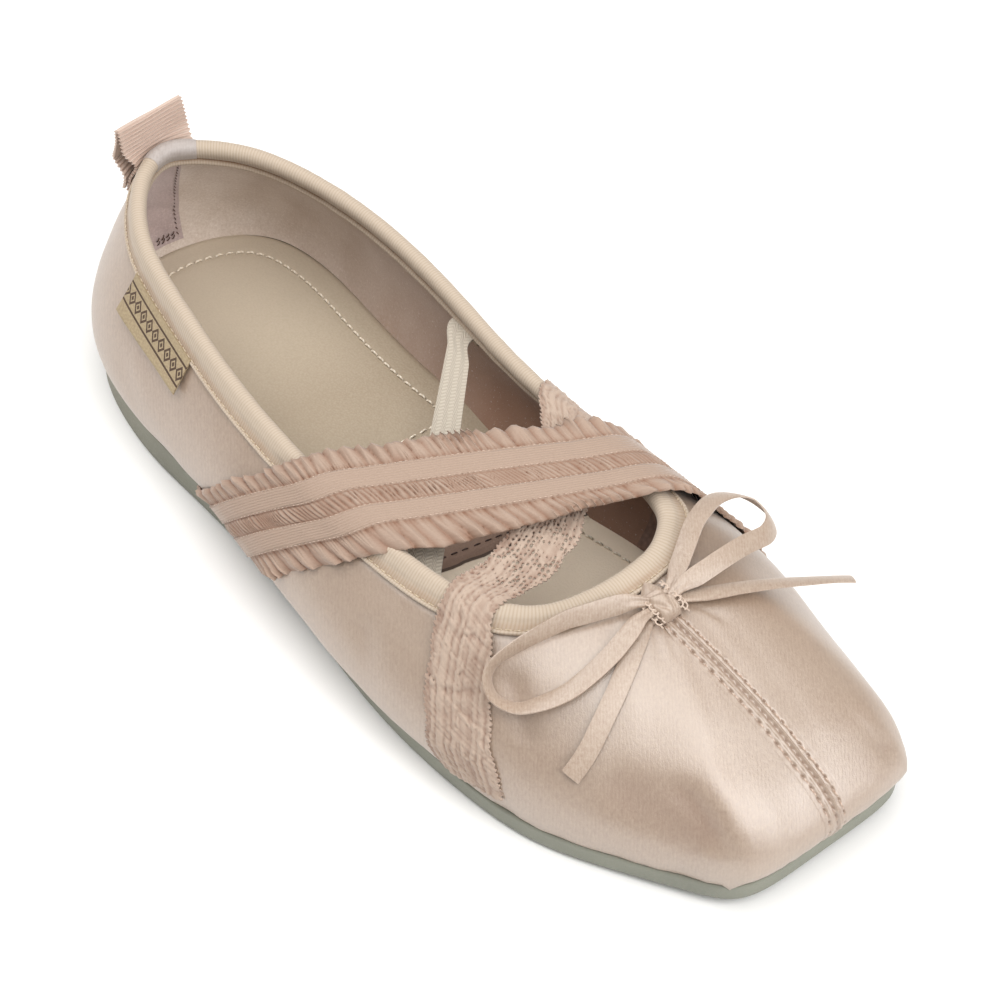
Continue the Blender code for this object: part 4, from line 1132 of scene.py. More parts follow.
def build_binding(material, thread, brown, joint):
    rib, _ = even_ribs(TOP, BINDING_ROWS)
    around = np.linspace(0, RIM_LENGTH, BINDING_ROWS, endpoint=False)
    swell = 0.10 * wander(around, 5, 21) + 0.06 * wander(around, 1.7, 22)
    uneven = 1 + 0.012 * wander(around, 12, 23)
    inner_leg = [(down, -WALL - off - 0.5 * swell) for down, off in INNER_LEG]
    outer_leg = []
    for down, off in OUTER_LEG:
        outer_leg.append((down * uneven, off + 0.4 * swell + 1.2 * swell * bump(down, 3.2, 1.6)))
    face = tape_grid(rib, inner_leg, (ROLL + 0.5 * swell)[:, None], outer_leg)
    inner_leg = [(down, -WALL - 0.25) for down, _ in INNER_LEG]
    outer_leg = [(down, 0.22) for down, _ in OUTER_LEG]
    back = tape_grid(rib, inner_leg, TAPE_BACK, outer_leg)
    # In the groove inside and along the stitched line outside, painted shade darkens the tape
    column = np.arange(face.shape[1])
    outside = column - len(INNER_LEG) - len(TOP_TURNS)
    deep = 0.95 * bump(column, 7.2, 2.0) + 0.6 * bump(column, 0, 1.2)
    deep = deep + 0.35 * bump(outside, 7.5, 3.0) + 0.5 * bump(outside, 10, 1.0)
    crease_shade = deep[None, :] * (1 + 0.25 * wander(around, 6, 25))[:, None]
    shell("collar_binding_tape", face, back, material, "collar_binding", True,
          grid_uv(face, True), {"crease_shade": crease_shade}, angle=70)
    build_joint(face, joint)
    closed = np.append(rib, rib[0])
    for name, down, side, off, colour in (
        ("binding_stitches", BINDING_STITCHES[0], 1, 0.64, thread),
        ("binding_stitches_inside", BINDING_STITCHES[1], -1, WALL + 0.55, brown),
    ):
        point, _, out = wall_frame(closed, down)
        sew(name, point + out * side * off, out * side, 2.2, 0.14, colour, "collar_tape", rise=0.12)


def build_joint(tape_face, material):
    """Smooth satin tab that covers the binding's ends at the back of the heel."""
    grid = np.concatenate([tape_face[-12:], tape_face[:9]])[:, 7:-3]
    normals = grid_normals(grid)
    edge = np.abs(np.linspace(-1, 1, len(grid)))[:, None]
    face = grid + normals * (0.28 - 0.2 * edge**6)[..., None]
    return shell("binding_joint", face, grid - normals * 0.15, material,
                 uv=grid_uv(face))


def stack(name, rings, material, replaces):
    """Solid from rings round the shoe, bottom ring first, closed by strips from side to side."""
    count = len(rings[0])
    i = np.arange(count)
    j = (i + 1) % count
    faces = []
    for level in range(len(rings) - 1):
        low, high = level * count, (level + 1) * count
        faces += np.stack([low + i, low + j, high + j, high + i], -1).tolist()
    top = (len(rings) - 1) * count
    for k in range(count // 2):
        strip = list(dict.fromkeys((k, k + 1, count - k - 1, (count - k) % count)))
        faces.append([top + n for n in strip])
        faces.append(strip[::-1])
    mesh = bpy.data.meshes.new(name)
    mesh.from_pydata(to_world(np.concatenate(rings)).tolist(), [], faces)
    mesh.update()
    return finish_piece(name, mesh, material, replaces, 40)


SOLE_ROWS = 460
# From the tread up: margin past the foot line, and height as a share of the sole with mm on top
SOLE_SIDE = (
    (-2.4, 0, 0.0), (-0.9, 0, 0.0), (-0.45, 0, 0.08), (-0.1, 0, 0.3), (0.2, 0, 0.62),
    (0.42, 0, 1.0), (0.52, 0.3, 0.6), (0.55, 0.5, 0.4), (0.6, 0.75, 0.1), (0.6, 1, -0.75),
    (0.55, 1, -0.45), (0.4, 1, -0.2), (0.15, 1, -0.06), (-0.3, 1, -0.02), (-2.0, 1, -0.02),
)


def build_outsole(material):
    rib, at = even_ribs(foot_point, SOLE_ROWS)
    line, out = foot_point(rib), plan_outward(FOOT, rib)
    low, high = tread_height(line[:, 1]), bed_height(line[:, 1])
    rings = []
    for margin, share, extra in SOLE_SIDE:
        ring = line + out * (margin + 0.05 * wander(at[:-1], 14, 90))[:, None]
        ring[:, 2] = low + (high - low) * share + extra
        rings.append(ring)
    return stack("outsole_moulded", rings, material, "outsole")


def insole_edge(count):
    """Line round the insole, by rib, at the foot of the wall's inside."""
    rib = np.arange(count) * RIB_COUNT / count
    return wall(rib, wall_length(rib) - 1.0, -WALL - 0.05)


def insole_top(y):
    return bed_height(y) + GAP + INSOLE_THICK


def across_plan(edge, columns):
    """Grid of plan points between the two sides of a closed line that starts at the heel."""
    count = len(edge)
    lateral = edge[: count // 2 + 1]
    medial = edge[(-np.arange(count // 2 + 1)) % count]
    share = (1 - np.cos(np.linspace(0, np.pi, columns))) / 2
    return lateral[:, None, :2] * (1 - share)[:, None] + medial[:, None, :2] * share[:, None]


def edge_distance(plan, edge):
    """How far plan points lie from the nearest point of a line, a few at a time to spare memory."""
    flat = plan.reshape(-1, 2)
    near = [np.linalg.norm(flat[k:k + 2000, None] - edge[None, :, :2], axis=-1).min(1)
            for k in range(0, len(flat), 2000)]
    return np.concatenate(near).reshape(plan.shape[:2])


INSOLE_GRID = (480, 76)  # points round it and from side to side
INSOLE_CROWN = 0.55  # it swells this much over its first 14 mm from the edge
INSOLE_ROUND = 2.4  # width of its rounded edge
SOCK_END = 138.7  # the padded heel sock ends this far along the middle
SOCK_SLOPE = -0.24  # and this much less or more for each mm to the outer or the inner side
SOCK_STEP = 0.9
SPLICE = 98.0  # a row of stitches crosses the sock here
SPLICE_SLOPE = -0.1
STITCH_DENT = 0.26  # the stitches draw the face in by this much
STITCH_IN = 8.2  # the stitches run this far inside the insole's edge
STITCH_BALL = 8.0  # and this much further in at the medial ball


def sock_step(x, y):
    """Depth of the step from the sock's face down to the forepart."""
    return SOCK_STEP * ease(y - SOCK_SLOPE * x, SOCK_END - 0.3, SOCK_END + 0.5)


def insole_level(point):
    """Height of the insole's face."""
    x, y = point[..., 0], point[..., 1]
    return insole_top(y) + INSOLE_CROWN - sock_step(x, y)


def stitch_ring(inset):
    """Closed line on the insole's face at an inset from its edge."""
    edge = insole_edge(900)
    run = np.gradient(edge, axis=0)
    out = unit(np.stack([run[:, 1], -run[:, 0], 0 * run[:, 0]], -1))
    ball = STITCH_BALL * ease(edge[:, 1], 92, 124) * ease(-edge[:, 0], 4, 16)
    ring = edge - out * (inset + ball)[:, None]
    ring[:, 2] = insole_level(ring) + 0.2 * ball / STITCH_BALL
    return ring


def cross_line(y, slope, inset, count=60):
    """Line across the insole between its stitched sides."""
    ring = stitch_ring(inset)
    near = np.abs(ring[:, 1] - y)
    lateral = ring[np.argmin(np.where(ring[:, 0] < 0, np.inf, near))]
    medial = ring[np.argmin(np.where(ring[:, 0] > 0, np.inf, near))]
    line = np.linspace(medial, lateral, count)
    line[:, 1] = y + slope * line[:, 0]
    line[:, 2] = insole_level(line)
    return line


def insole_dent(plan, ring, splice):
    """Depth to which stitches and the sock's end sink the insole's face."""
    flat = np.concatenate([plan, np.zeros(plan.shape[:2] + (1,))], -1)
    seam, _ = distance_to(flat, ring[::3] * (1, 1, 0))
    across, _ = distance_to(flat, splice * (1, 1, 0))
    sunk = STITCH_DENT * bump(seam, 0, 1.1) + STITCH_DENT * bump(across, 0, 1.1)
    return sunk + sock_step(plan[..., 0], plan[..., 1])


def build_insole(material, thread, dark):
    ring = stitch_ring(STITCH_IN)
    splice = cross_line(SPLICE, SPLICE_SLOPE, STITCH_IN)
    edge = insole_edge(INSOLE_GRID[0])
    plan = across_plan(edge, INSOLE_GRID[1])
    inside = edge_distance(plan, edge)
    bed = bed_height(plan[..., 1]) + GAP
    top = bed + INSOLE_THICK + INSOLE_CROWN * ease(inside, 0, 14)
    top = top - INSOLE_THICK * 0.7 * (1 - np.clip(inside / INSOLE_ROUND, 0, 1)) ** 2
    top = top - insole_dent(plan, ring, splice)
    face = np.concatenate([plan, top[..., None]], -1)
    back = np.concatenate([plan, (bed + 0.02)[..., None]], -1)
    shell("insole_sock", face, back, material, "insole", uv=plan)
    end = cross_line(SOCK_END - 3.0, SOCK_SLOPE, 3.0)
    closed = np.concatenate([ring, ring[:1]])
    for name, line, sunk, pitch, radius, colour, stitch in (
        ("insole_stitches", closed, 0.2, 2.8, 0.29, thread, (0.74, 0.32, 0.12, 80)),
        ("insole_splice_stitches", splice, 0.2, 3.0, 0.27, thread, (0.74, 0.32, 0.12, 82)),
        ("sock_end_stitches", end, 0.02, 3.0, 0.2, dark, (0.6, 0.15, 0.0, 84)),
    ):
        up = np.broadcast_to(UP, line.shape)
        sew(name, line - UP * sunk, up, pitch, radius, colour, "insole_leather", *stitch)


# --- Straps ------------------------------------------------------------------------------------

def loft(lines, rows, shares):
    """Rows of points at the given shares, laid smoothly between rows that have places of their own."""
    rows = np.asarray(rows)
    flat = smooth(shares, np.column_stack([lines, rows.reshape(len(rows), -1)]))
    return flat.reshape(len(shares), *rows.shape[1:])


def strap_surface(ribs, lines, arch, drift, extra, steps, shares, columns):
    """A strap's surface on a fine grid: rows by share of its width, columns at even distances."""
    coarse = strap_grid(ribs, lines, arch, drift, extra, steps)
    return loft(lines, [resample(row, columns) for row in coarse], shares)


def strip_uv(along, across):
    """Texture places of a strip in mm."""
    return np.stack(np.broadcast_arrays(along, across), -1)


def blur(values, at, reach):
    """Values on a grid smoothed along its rows, with their ends kept."""
    step = at[-1] / (len(at) - 1)
    half = int(3 * reach / step)
    weight = np.exp(-0.5 * (np.arange(-half, half + 1) * step / reach) ** 2)
    first, last = values[:, :1], values[:, -1:]
    padded = np.concatenate([2 * first - values[:, half:0:-1], values,
                             2 * last - values[:, -2:-half - 2:-1]], 1)
    total = sum(w * padded[:, k:k + values.shape[1]] for k, w in enumerate(weight))
    return total / weight.sum()


def soften(surface, reach):
    """The same strap with its turns eased along its length, as thick soft cloth takes them, but
    nowhere lower than it was."""
    at = run_along(surface[len(surface) // 2])
    eased = blur(surface, at, reach)
    off = strap_frame(eased)[0]
    sunk = np.maximum(np.sum((surface - eased) * off, -1), 0)
    half = int(reach * len(at) / at[-1])
    padded = np.pad(sunk, ((0, 0), (half, half)))
    lift = np.max([padded[:, k:k + len(at)] for k in range(2 * half + 1)], 0)
    return eased + off * blur(lift[..., None], at, reach * 0.6)


def strap_frame(surface):
    """Directions off, along and across a strap's surface, and the distance along it."""
    off = unit(np.cross(np.gradient(surface, axis=1), np.gradient(surface, axis=0)))
    along = unit(np.gradient(surface, axis=1))
    across = unit(np.gradient(surface, axis=0))
    return off, along, across, run_along(surface[len(surface) // 2])


def folds(at, pitch, uneven, seed):
    """Numbers that rise by 1 in each fold of an uneven gather."""
    step = np.diff(at, prepend=at[0])
    width = pitch * (1 + uneven * wander(at, pitch * 1.6, seed))
    return np.cumsum(step / width)


FRILL_SHARE = 0.2  # part of the ruffle's width that each frill takes
FLAT_EDGE = 0.42  # its flat bands lie between the frills and this share of the width
BAND_STEP = 0.012  # the bands stay this far from their neighbours
BAND_STITCH = 0.022  # their stitches run this far inside their edges
RUFFLE_COLUMNS = 820
# Distance along the strap, and how much longer the front frill hangs there
FRONT_FRILL = ((20, 0), (40, 0.5), (68, 0.5), (88, 2.4), (104, 4.0), (120, 1.6))


def frill_relief(depth, at, pitch, seed):
    """Height, lean, reach and painted shade in the folds of a frill; depth is 0 at its seam and 1 at
    its edge.
    """
    number = folds(at, pitch, 0.6, seed)[None, :]
    skew = 0.22 * wander(at, 9, seed + 1)[None, :]
    kink = wander(number * 2.6 + 1.8 * depth, 1.0, seed + 6)
    phase = number + skew * depth + 0.14 * kink
    flute = np.abs(np.sin(np.pi * phase)) ** 0.6
    tall = 1 + 0.5 * wander(at, 5.5, seed + 2)[None, :]
    puff = 0.5 + 0.5 * wander(at, 5.0, seed + 8)[None, :]
    tight = folds(at, 1.3, 0.65, seed + 3)[None, :] - 0.2 * skew * depth + 0.15 * kink
    fine = np.abs(np.sin(np.pi * tight)) ** 0.7
    near = (1 - depth) ** 1.2
    height = (1.45 * flute * tall + 1.0 * puff) * (0.15 + 0.85 * depth)
    height = height + 0.3 * fine * near + 0.25 * kink * depth
    # The edge rolls over at the crests of the flutes
    height = height - 0.7 * ease(depth, 0.75, 1.0) * (0.4 + flute)
    lean = (0.5 * np.sin(2 * np.pi * phase) + 0.25 * kink) * depth
    reach = (0.8 * flute * tall + 0.8 * puff - 1.3) * depth**1.5
    fold = (1 - flute) ** 1.1 * (0.6 + 0.3 * depth) + 0.4 * (1 - fine) * near**1.8
    return height, lean, reach, fold + 0.15 * (0.5 - puff) * depth


def gather_relief(place, at):
    """Height and painted shade in the folds of the gathers between the bands; place runs from -1 to 1
    across.
    """
    slant = 0.45 + 0.5 * wander(at, 14, 174)
    number = folds(at, 1.25, 0.6, 171) + slant * place + 0.15 * wander(place * 2 + at * 0.9, 1.0, 172)
    ridge = np.abs(np.sin(np.pi * number)) ** 0.7 * (0.8 + 0.3 * wander(at, 2.3, 175))
    puff = np.clip(1 - place**2, 0, 1) ** 0.5
    height = 0.10 + 0.66 * ridge * puff * (1 + 0.45 * wander(at, 3, 173))
    fold = 0.02 + (1 - ridge) * (0.45 + 0.45 * puff) + 0.35 * bump(np.abs(place), 1, 0.2)
    return height, fold


def build_ruffle(material, thread):
    frill = np.linspace(0, FRILL_SHARE, 12)
    flat = np.linspace(FRILL_SHARE + BAND_STEP, FLAT_EDGE - BAND_STEP, 6)
    half = np.concatenate([frill, flat])
    gathers = np.linspace(FLAT_EDGE, 1 - FLAT_EDGE, 11)
    shares = np.concatenate([half, gathers, 1 - half[::-1]])
    surface = strap_surface(RUFFLE_STRAP, RUFFLE_LINES, RUFFLE_ARCH, RUFFLE_DRIFT, RUFFLE_OVER_LACE,
                            RUFFLE_STEPS, shares, RUFFLE_COLUMNS)
    surface = soften(surface, 4.2)
    off, along, across, at = strap_frame(surface)
    lift, crease_shade = np.zeros(surface.shape[:2]), np.zeros(surface.shape[:2])
    moved = surface.copy()
    # The front frill hangs longer and lower over the foot opening than at its ends
    hang = np.interp(at, *np.transpose(FRONT_FRILL))
    count = len(frill)
    for rows, side, seed in ((slice(0, count), -1, 101), (slice(-count, None), 1, 151)):
        share = shares[rows, None]
        depth = np.abs((share if side < 0 else 1 - share) - FRILL_SHARE) / FRILL_SHARE
        height, lean, reach, deep = frill_relief(depth, at, 3.7, seed)
        longer = hang * depth * (side > 0)
        lift[rows] = height - 0.45 - 0.3 * longer
        # Painted shade: darker deep in the folds and near the frill's seam
        crease_shade[rows] = 0.85 * deep + 0.3 * bump(depth, 0, 0.2) + 0.03 * longer
        reach = side * (reach + longer)
        moved[rows] += along[rows] * lean[..., None] + across[rows] * reach[..., None]
    # The flat bands lie over the frills' seams and the gathers
    aside = np.abs(shares - 0.5)
    centre = aside < 0.5 - FLAT_EDGE + BAND_STEP / 2
    band = ~centre & (aside <= 0.5 - FRILL_SHARE - BAND_STEP / 2)
    lift[band] = 0.45 + 0.07 * wander(at, 3.1, 130)
    crease_shade[band] = 0.06
    place = (shares[centre][:, None] - 0.5) / (0.5 - FLAT_EDGE)
    lift[centre], crease_shade[centre] = gather_relief(place, at)
    outer = moved + off * (lift + STRAP_THICK * 0.5)[..., None]
    cords = np.where(band[:, None], 1.0, 0.15) + 0 * lift
    shell("ruffle_strap", outer, outer - off * 0.45, material, "strap_ruffle",
          uv=strip_uv(at, run_along(surface, 0)), marks={"crease_shade": crease_shade, "cords": cords}, angle=80)
    for name, share in (
        ("rear_frill", FRILL_SHARE + BAND_STITCH), ("rear_middle", FLAT_EDGE - BAND_STITCH),
        ("front_middle", 1 - FLAT_EDGE + BAND_STITCH), ("front_frill", 1 - FRILL_SHARE - BAND_STITCH),
    ):
        row = np.argmin(np.abs(shares - share))
        sew("ruffle_stitches_" + name, outer[row] - off[row] * 0.03, off[row], 1.5, 0.09, thread,
            "ruffle_elastic", fill=0.6, rise=0.07, seed=180)


LACE_ROWS = 78
LACE_COLUMNS = 430
CHAIN = 1.12  # distance between the lengthwise chains of yarn
MESH = 1.5  # distance between the openings along a chain
SPRIG = 14.0  # the solid petals repeat this far along
PICOT = 1.35  # distance between the picots along its edges
YARN = 0.28  # thickness of the net


def sprig_edge(across, along, width):
    """Distance outside the edge of the nearest solid petal, in mm, negative inside it."""
    number = np.round(along / SPRIG)
    side = np.where(number % 2 > 0, 1.0, -1.0)
    x, y = across - width / 2 + 3.0 * side, along - SPRIG * number
    angle = np.arctan2(y, x)
    return np.hypot(x, y * 0.85) - 3.6 - 0.9 * np.cos(5 * angle + number)


def lace_net(across, along, width):
    """How open the lace is: above 1 in the openings of an uneven net, larger round the petals and
    small within them."""
    chain = np.floor(across / CHAIN).astype(int)
    y = along / MESH + 0.5 * (chain % 2)
    link = np.floor(y).astype(int)
    uneven = np.random.default_rng(205).uniform(-1, 1, (3, 64, 256))[:, chain % 64, link % 256]
    x = (across / CHAIN - chain - 0.5 + 0.22 * uneven[0]) * CHAIN
    y = (y - link - 0.5 + 0.2 * uneven[1]) * MESH
    edge = sprig_edge(across, along, width)
    size = 0.8 + 0.8 * uneven[2] + 0.9 * bump(edge, 0.9, 1.0) - 0.9 * (1 - ease(edge, -1.2, 0.0))
    gap = (x / 0.32) ** 2 + (y / 0.48) ** 2
    return np.clip(size, 0.05, 3) / (gap + 0.02)


def build_lace(material):
    shares = np.linspace(0, 1, LACE_ROWS)
    surface = strap_surface(LACE_STRAP, LACE_LINES, LACE_ARCH, LACE_DRIFT, 0, LACE_STEPS, shares,
                            LACE_COLUMNS)
    surface = soften(surface, 2.2)
    off, _, across, at = strap_frame(surface)
    width = run_along(surface, 0)
    total = width[-1][None, :]
    # Picots on scallops as long as the petals are apart
    picot = np.abs(np.sin(np.pi * at / PICOT)) * (1 + 0.4 * wander(at, 2.0, 207))
    edge = 0.8 * np.abs(np.sin(np.pi * at / SPRIG)) + 0.5 * picot - 0.4
    side = (shares[:, None] - 0.5) * 2
    moved = surface + across * (np.sign(side) * np.abs(side) ** 8 * edge[None, :])[..., None]
    flat = at[None, :] + 0 * width
    middle = surface[LACE_ROWS // 2]
    crossing = np.linalg.norm(middle - middle[LACE_COLUMNS // 2], axis=-1)
    spread = (1 - ease(crossing, 22, 34))[None, :]
    petal = bump(sprig_edge(width, flat, total), 0, 0.6)
    net = lace_net(width, flat, total)
    pit = np.clip((net - 0.55) * 1.6, 0, 1)
    # Where it lies on the satin the lace is drawn in, so long wrinkles run down it
    wrinkle = wander(width * 1.15 + 0.8 * wander(flat, 5, 206), 1.0, 208)
    wrinkle = wrinkle * (0.7 + 0.3 * wander(flat, 4, 209))
    rough = 0.14 * wander(flat + width * 0.35, 1.9, 201) + 0.12 * wander(flat * 2.1 - width, 1.1, 204)
    yarn = 0.2 * petal - 0.16 * pit + rough + (0.22 - 0.12 * spread) * wrinkle
    outer = moved + off * yarn[..., None]
    i, j = np.meshgrid(np.arange(LACE_ROWS - 1), np.arange(LACE_COLUMNS - 1), indexing="ij")
    big = 1.3 + 40 * (1 - spread[0, j])
    rim = (i < 3) | (i > LACE_ROWS - 5)
    notch = (picot[j] < 0.45) & ((i == 0) | (i == LACE_ROWS - 2))
    keep = ~(((net[i, j] > big) & ~rim) | notch)
    face = np.stack([i * LACE_COLUMNS + j, i * LACE_COLUMNS + j + 1,
                     (i + 1) * LACE_COLUMNS + j + 1, (i + 1) * LACE_COLUMNS + j], -1)[keep]
    uv = strip_uv(flat, width).reshape(-1, 2)
    # Painted shade darker in the net's openings, and painted light on its wrinkles and raised yarn;
    # the solid petals are lighter too
    crease_shade = 0.16 + (0.2 + 0.36 * spread) * pit - 0.35 * petal - 0.4 * wrinkle - 0.9 * rough
    crease_shade = np.clip(crease_shade, 0, 1)
    piece = new_piece("lace_strap", outer.reshape(-1, 3), face, material,
                      "strap_lace", uv[face.ravel()], {"crease_shade": crease_shade, "cords": crease_shade * 0},
                      angle=0)
    solid = piece.modifiers.new("yarn", "SOLIDIFY")
    solid.thickness = YARN * MM
    solid.offset = 0
    return piece


ELASTIC_SPREAD = 1.15  # its band is spread this much about its middle
ELASTIC_GRID = (17, 150)
ELASTIC_BODY = 0.75  # thickness of its face and back


def build_elastic(material):
    shares = np.linspace(0, 1, 5)
    rows = []
    for share in shares:
        sides = []
        for rear, front in ELASTIC_STRAP:
            rib = rear + (front - rear) * share
            sides.append([wall(rib, down, -WALL - GAP - off) for down, off in ELASTIC_TUCK])
        lateral, medial = sides
        span = between(lateral[-1], medial[-1], ELASTIC_STEPS)
        rows.append(resample(np.array(lateral + span + medial[::-1]), ELASTIC_GRID[1]))
    grid = loft(shares, rows, np.linspace(0, 1, ELASTIC_GRID[0]))[::-1]
    middle = grid[len(grid) // 2]
    grid = middle + (grid - middle) * ELASTIC_SPREAD
    off, _, _, at = strap_frame(grid)
    side = np.linspace(-1, 1, len(grid))[:, None]
    bow = 0.25 * (1 - side**2) + 0.05 * wander(at, 6, 221)
    outer = grid + off * bow[..., None]
    return shell("elastic_strap", outer, outer - off * ELASTIC_BODY, material,
                 "strap_elastic", uv=strip_uv(at, run_along(grid, 0)))


# --- Pull loop, label and bow ------------------------------------------------------------------

LOOP_RIB = 1.0  # spacing of the grosgrain's ribs
LOOP_GRID = (29, 300)


def build_pull_loop(material):
    shares = np.linspace(-1, 1, 9)
    rows = []
    for share in shares:
        rib = share * LOOP_REACH
        inner = [wall(rib, down, off) for down, off in LOOP_INNER]
        free = [np.array((share * LOOP_WIDTH / 2, y, z)) for y, z in LOOP_WORN]
        outer = [wall(rib, down, off) for down, off in LOOP_OUTER]
        rows.append(resample(np.array(inner + free + outer), LOOP_GRID[1]))
    side = np.linspace(-1, 1, LOOP_GRID[0])
    grid = loft(shares, rows, side)
    off = grid_normals(grid)
    at = run_along(grid[len(grid) // 2])
    wave = np.sin(2 * np.pi * at / LOOP_RIB)
    across = unit(np.gradient(grid, axis=0))
    # The ribs show on its selvedges too, and die out just before them
    side = side[:, None]
    outward = 0.22 * np.sign(side) * np.abs(side) ** 10 * wave
    grid = grid + across * outward[..., None]
    face = grid + off * (0.17 * wave * (1 - 0.6 * np.abs(side) ** 12))[..., None]
    back = grid - off * (0.62 + 0.14 * wave)[:, None]
    return shell("pull_loop", face, back, material, "heel_pull_loop",
                 uv=strip_uv(at, side * LOOP_WIDTH / 2))


LOZENGE_PITCH = 3.4
LABEL_MIDDLE = 4.9  # the lozenges run this far down it
LABEL_PLY = 0.34
LABEL_TOP = 4.6  # its top edge lies this far down, under the binding


def build_label(material):
    """One strip folded in two at its lower edge, sewn in under the binding."""
    share = np.linspace(0, 1, 46)[:, None]
    rib = LABEL_RIBS[0] + (LABEL_RIBS[1] - LABEL_RIBS[0]) * share
    height = LABEL_HEIGHT[0] + (LABEL_HEIGHT[1] - LABEL_HEIGHT[0]) * share
    part = np.linspace(0, 1, 16)[None, :]
    down = LABEL_TOP + (TAPE_OUTER + LABEL_DROP + height - LABEL_TOP) * part
    lift = TAPE_GAP + 0.45 + LABEL_LIFT * part**2 + 0.25 * part * wander(share * 26, 9, 240)
    front = wall(rib + 0 * part, down, lift + 0.3)
    turn = np.linspace(0, np.pi, 6)[1:-1][None, :]
    fold_down = down[:, -1:] + 0.22 * np.sin(turn)
    fold = wall(rib + 0 * turn, fold_down, lift[:, -1:] + 0.3 - 0.22 * (1 - np.cos(turn)))
    back = wall(rib + 0 * part, down[:, ::-1], lift[:, ::-1] - 0.14)
    grid = np.concatenate([front, fold, back], 1)
    return shell("side_label", grid, grid - grid_normals(grid) * LABEL_PLY * 0.5, material,
                 "side_label", uv=grid_uv(grid))


BOW_GRID = (13, 200)
BOW_TAPER = 9.0  # a ribbon widens over this length at its ends
RIBBON_BODY = 0.42  # thickness of its face and back


def ribbon_route(route, steps):
    """Middle of a ribbon, the way across it and the way off the wall, along its route."""
    rows = np.array(route, float)
    at = np.linspace(0, len(rows) - 1, steps)
    rib, down, clear, lean = smooth(at, np.column_stack([np.arange(len(rows)), rows])).T
    lean = np.radians(lean)
    lift = clear + RIBBON_THICK / 2 + BOW_WIDTH / 2 * np.abs(np.sin(lean))
    point, _, out = wall_frame(rib, down)
    middle = point + out * lift[:, None]
    along = unit(np.gradient(middle, axis=0))
    side = unit(np.cross(out, along))
    across = np.sin(lean)[:, None] * out - np.cos(lean)[:, None] * side
    return middle, across, along


def build_ribbon(node, route, material, seed, narrow, slant):
    """One ribbon of the bow: narrow says how much of its width it gives up at its two ends, and
    slant how far its end is cut aslant."""
    middle, across, along = ribbon_route(route, BOW_GRID[1])
    run = run_along(middle)
    side = np.linspace(-1, 1, BOW_GRID[0])[:, None]
    left = run[-1] - run
    drawn_in = narrow[0] * (1 - ease(run, 0, BOW_TAPER)) + narrow[1] * (1 - ease(left, 0, BOW_TAPER))
    grid = middle + across * (side * (1 - drawn_in) * BOW_WIDTH / 2)[..., None]
    grid = grid + along * (ease(run, run[-1] - 4, run[-1]) * slant * side)[..., None]
    off = unit(np.cross(along, across)) + 0 * grid
    curl = 0.22 * side**2 + 0.10 * wander(run, 8, seed) * side + 0.45 * drawn_in * np.cos(side * 5)
    grid = grid + off * curl[..., None]
    half = off * ((RIBBON_BODY - 0.1 * np.abs(side) ** 8) / 2)[..., None]
    return shell(node + "_ribbon", grid + half, grid - half, material, node,
                 uv=strip_uv(run, 2.5 * side))


PICOT_ROWS = ((3.5, 2.3, 4.3), (4.5, 1.5, 4.9))  # reach, height and half the length of each row
PICOT_THREAD = 0.21


def build_knot(material, picot):
    """Satin strip wrapped square over the bow's middle: a flat top with pressed facets, a folded
    corner above it and crimped picot edges at its two ends."""
    point, up, out = wall_frame(KNOT_RIB, KNOT_DOWN)
    centre = point + out * 0.6
    across = np.cross(up, out)
    line = np.linspace(-1, 1, 61)
    line = np.sign(line) * np.abs(line) ** 0.7
    u, v = np.meshgrid(line, line, indexing="ij")
    dome = np.clip((1 - np.abs(u) ** 7) * (1 - np.abs(v) ** 7), 0, 1) ** 0.5
    # A pressed fold runs slantwise over it, high on one side and low on the other
    step = 0.5 * ease(v + 0.25 * u, 0.42, 0.30) - 0.3 * bump(v + 0.25 * u, 0.5, 0.16)
    dent = 0.75 * bump(u * 0.9 - v * 0.3, 0.5, 0.22) + 0.5 * bump(u * 0.8 + v * 0.6, -0.55, 0.25)
    swell = 0.35 * bump(u * 0.9 - v * 0.3, 0.05, 0.5)
    height = (2.7 + step - dent + swell - 0.35 * u**2 - 0.2 * v**2) * dome
    wide = u * 3.1 * (1 - 0.10 * v**2)
    high = v * 4.1 * (1 - 0.05 * u**2)
    points = centre + across * wide[..., None] + up * high[..., None]
    shell("bow_knot_wrap", points + out * height[..., None], points - out * 0.4, material,
          "bow_knot", uv=strip_uv(u * 4.5, v * 4.2))
    build_corner_fold(centre, across, up, out, material)
    for side, name in ((1, "lateral"), (-1, "medial")):
        for row, (reach, high, long) in enumerate(PICOT_ROWS):
            loops = np.linspace(-long, long, 300)
            bend = (loops / long) ** 2
            phase = 2 * np.pi * loops / PICOT + row * np.pi
            wide = reach - 0.9 * bend + 0.42 * np.cos(phase) + 0.15 * wander(loops, 1.5, 260 + row)
            rise = high - 0.8 * bend + 0.2 * np.sin(phase * 0.5)
            place = centre + across * (side * wide)[:, None] + out * rise[:, None]
            place = place + up * (loops + 0.34 * np.sin(phase))[:, None]
            tube(f"knot_picot_{name}_{row}", place, PICOT_THREAD, picot)


def build_corner_fold(centre, across, up, out, material):
    """Pointed satin fold that comes out of the knot towards the binding."""
    a, b = np.meshgrid(np.linspace(-1, 1, 25), np.linspace(0, 1, 21), indexing="ij")
    width = 3.3 * (1 - b) ** 0.8 + 0.25
    rise = 2.3 * (1 - 0.55 * b) * (1 - 0.75 * np.abs(a) ** 2.2) + 0.3 * bump(a, 0.3, 0.2) * (1 - b)
    points = centre + across * (a * width + 0.6 * b)[..., None] + up * (2.9 + 3.6 * b)[..., None]
    points = points + out * (rise - 0.3)[..., None]
    return shell("bow_knot_fold", points, points - grid_normals(points) * 0.3, material,
                 uv=grid_uv(points))


# --- Stage -------------------------------------------------------------------------------------

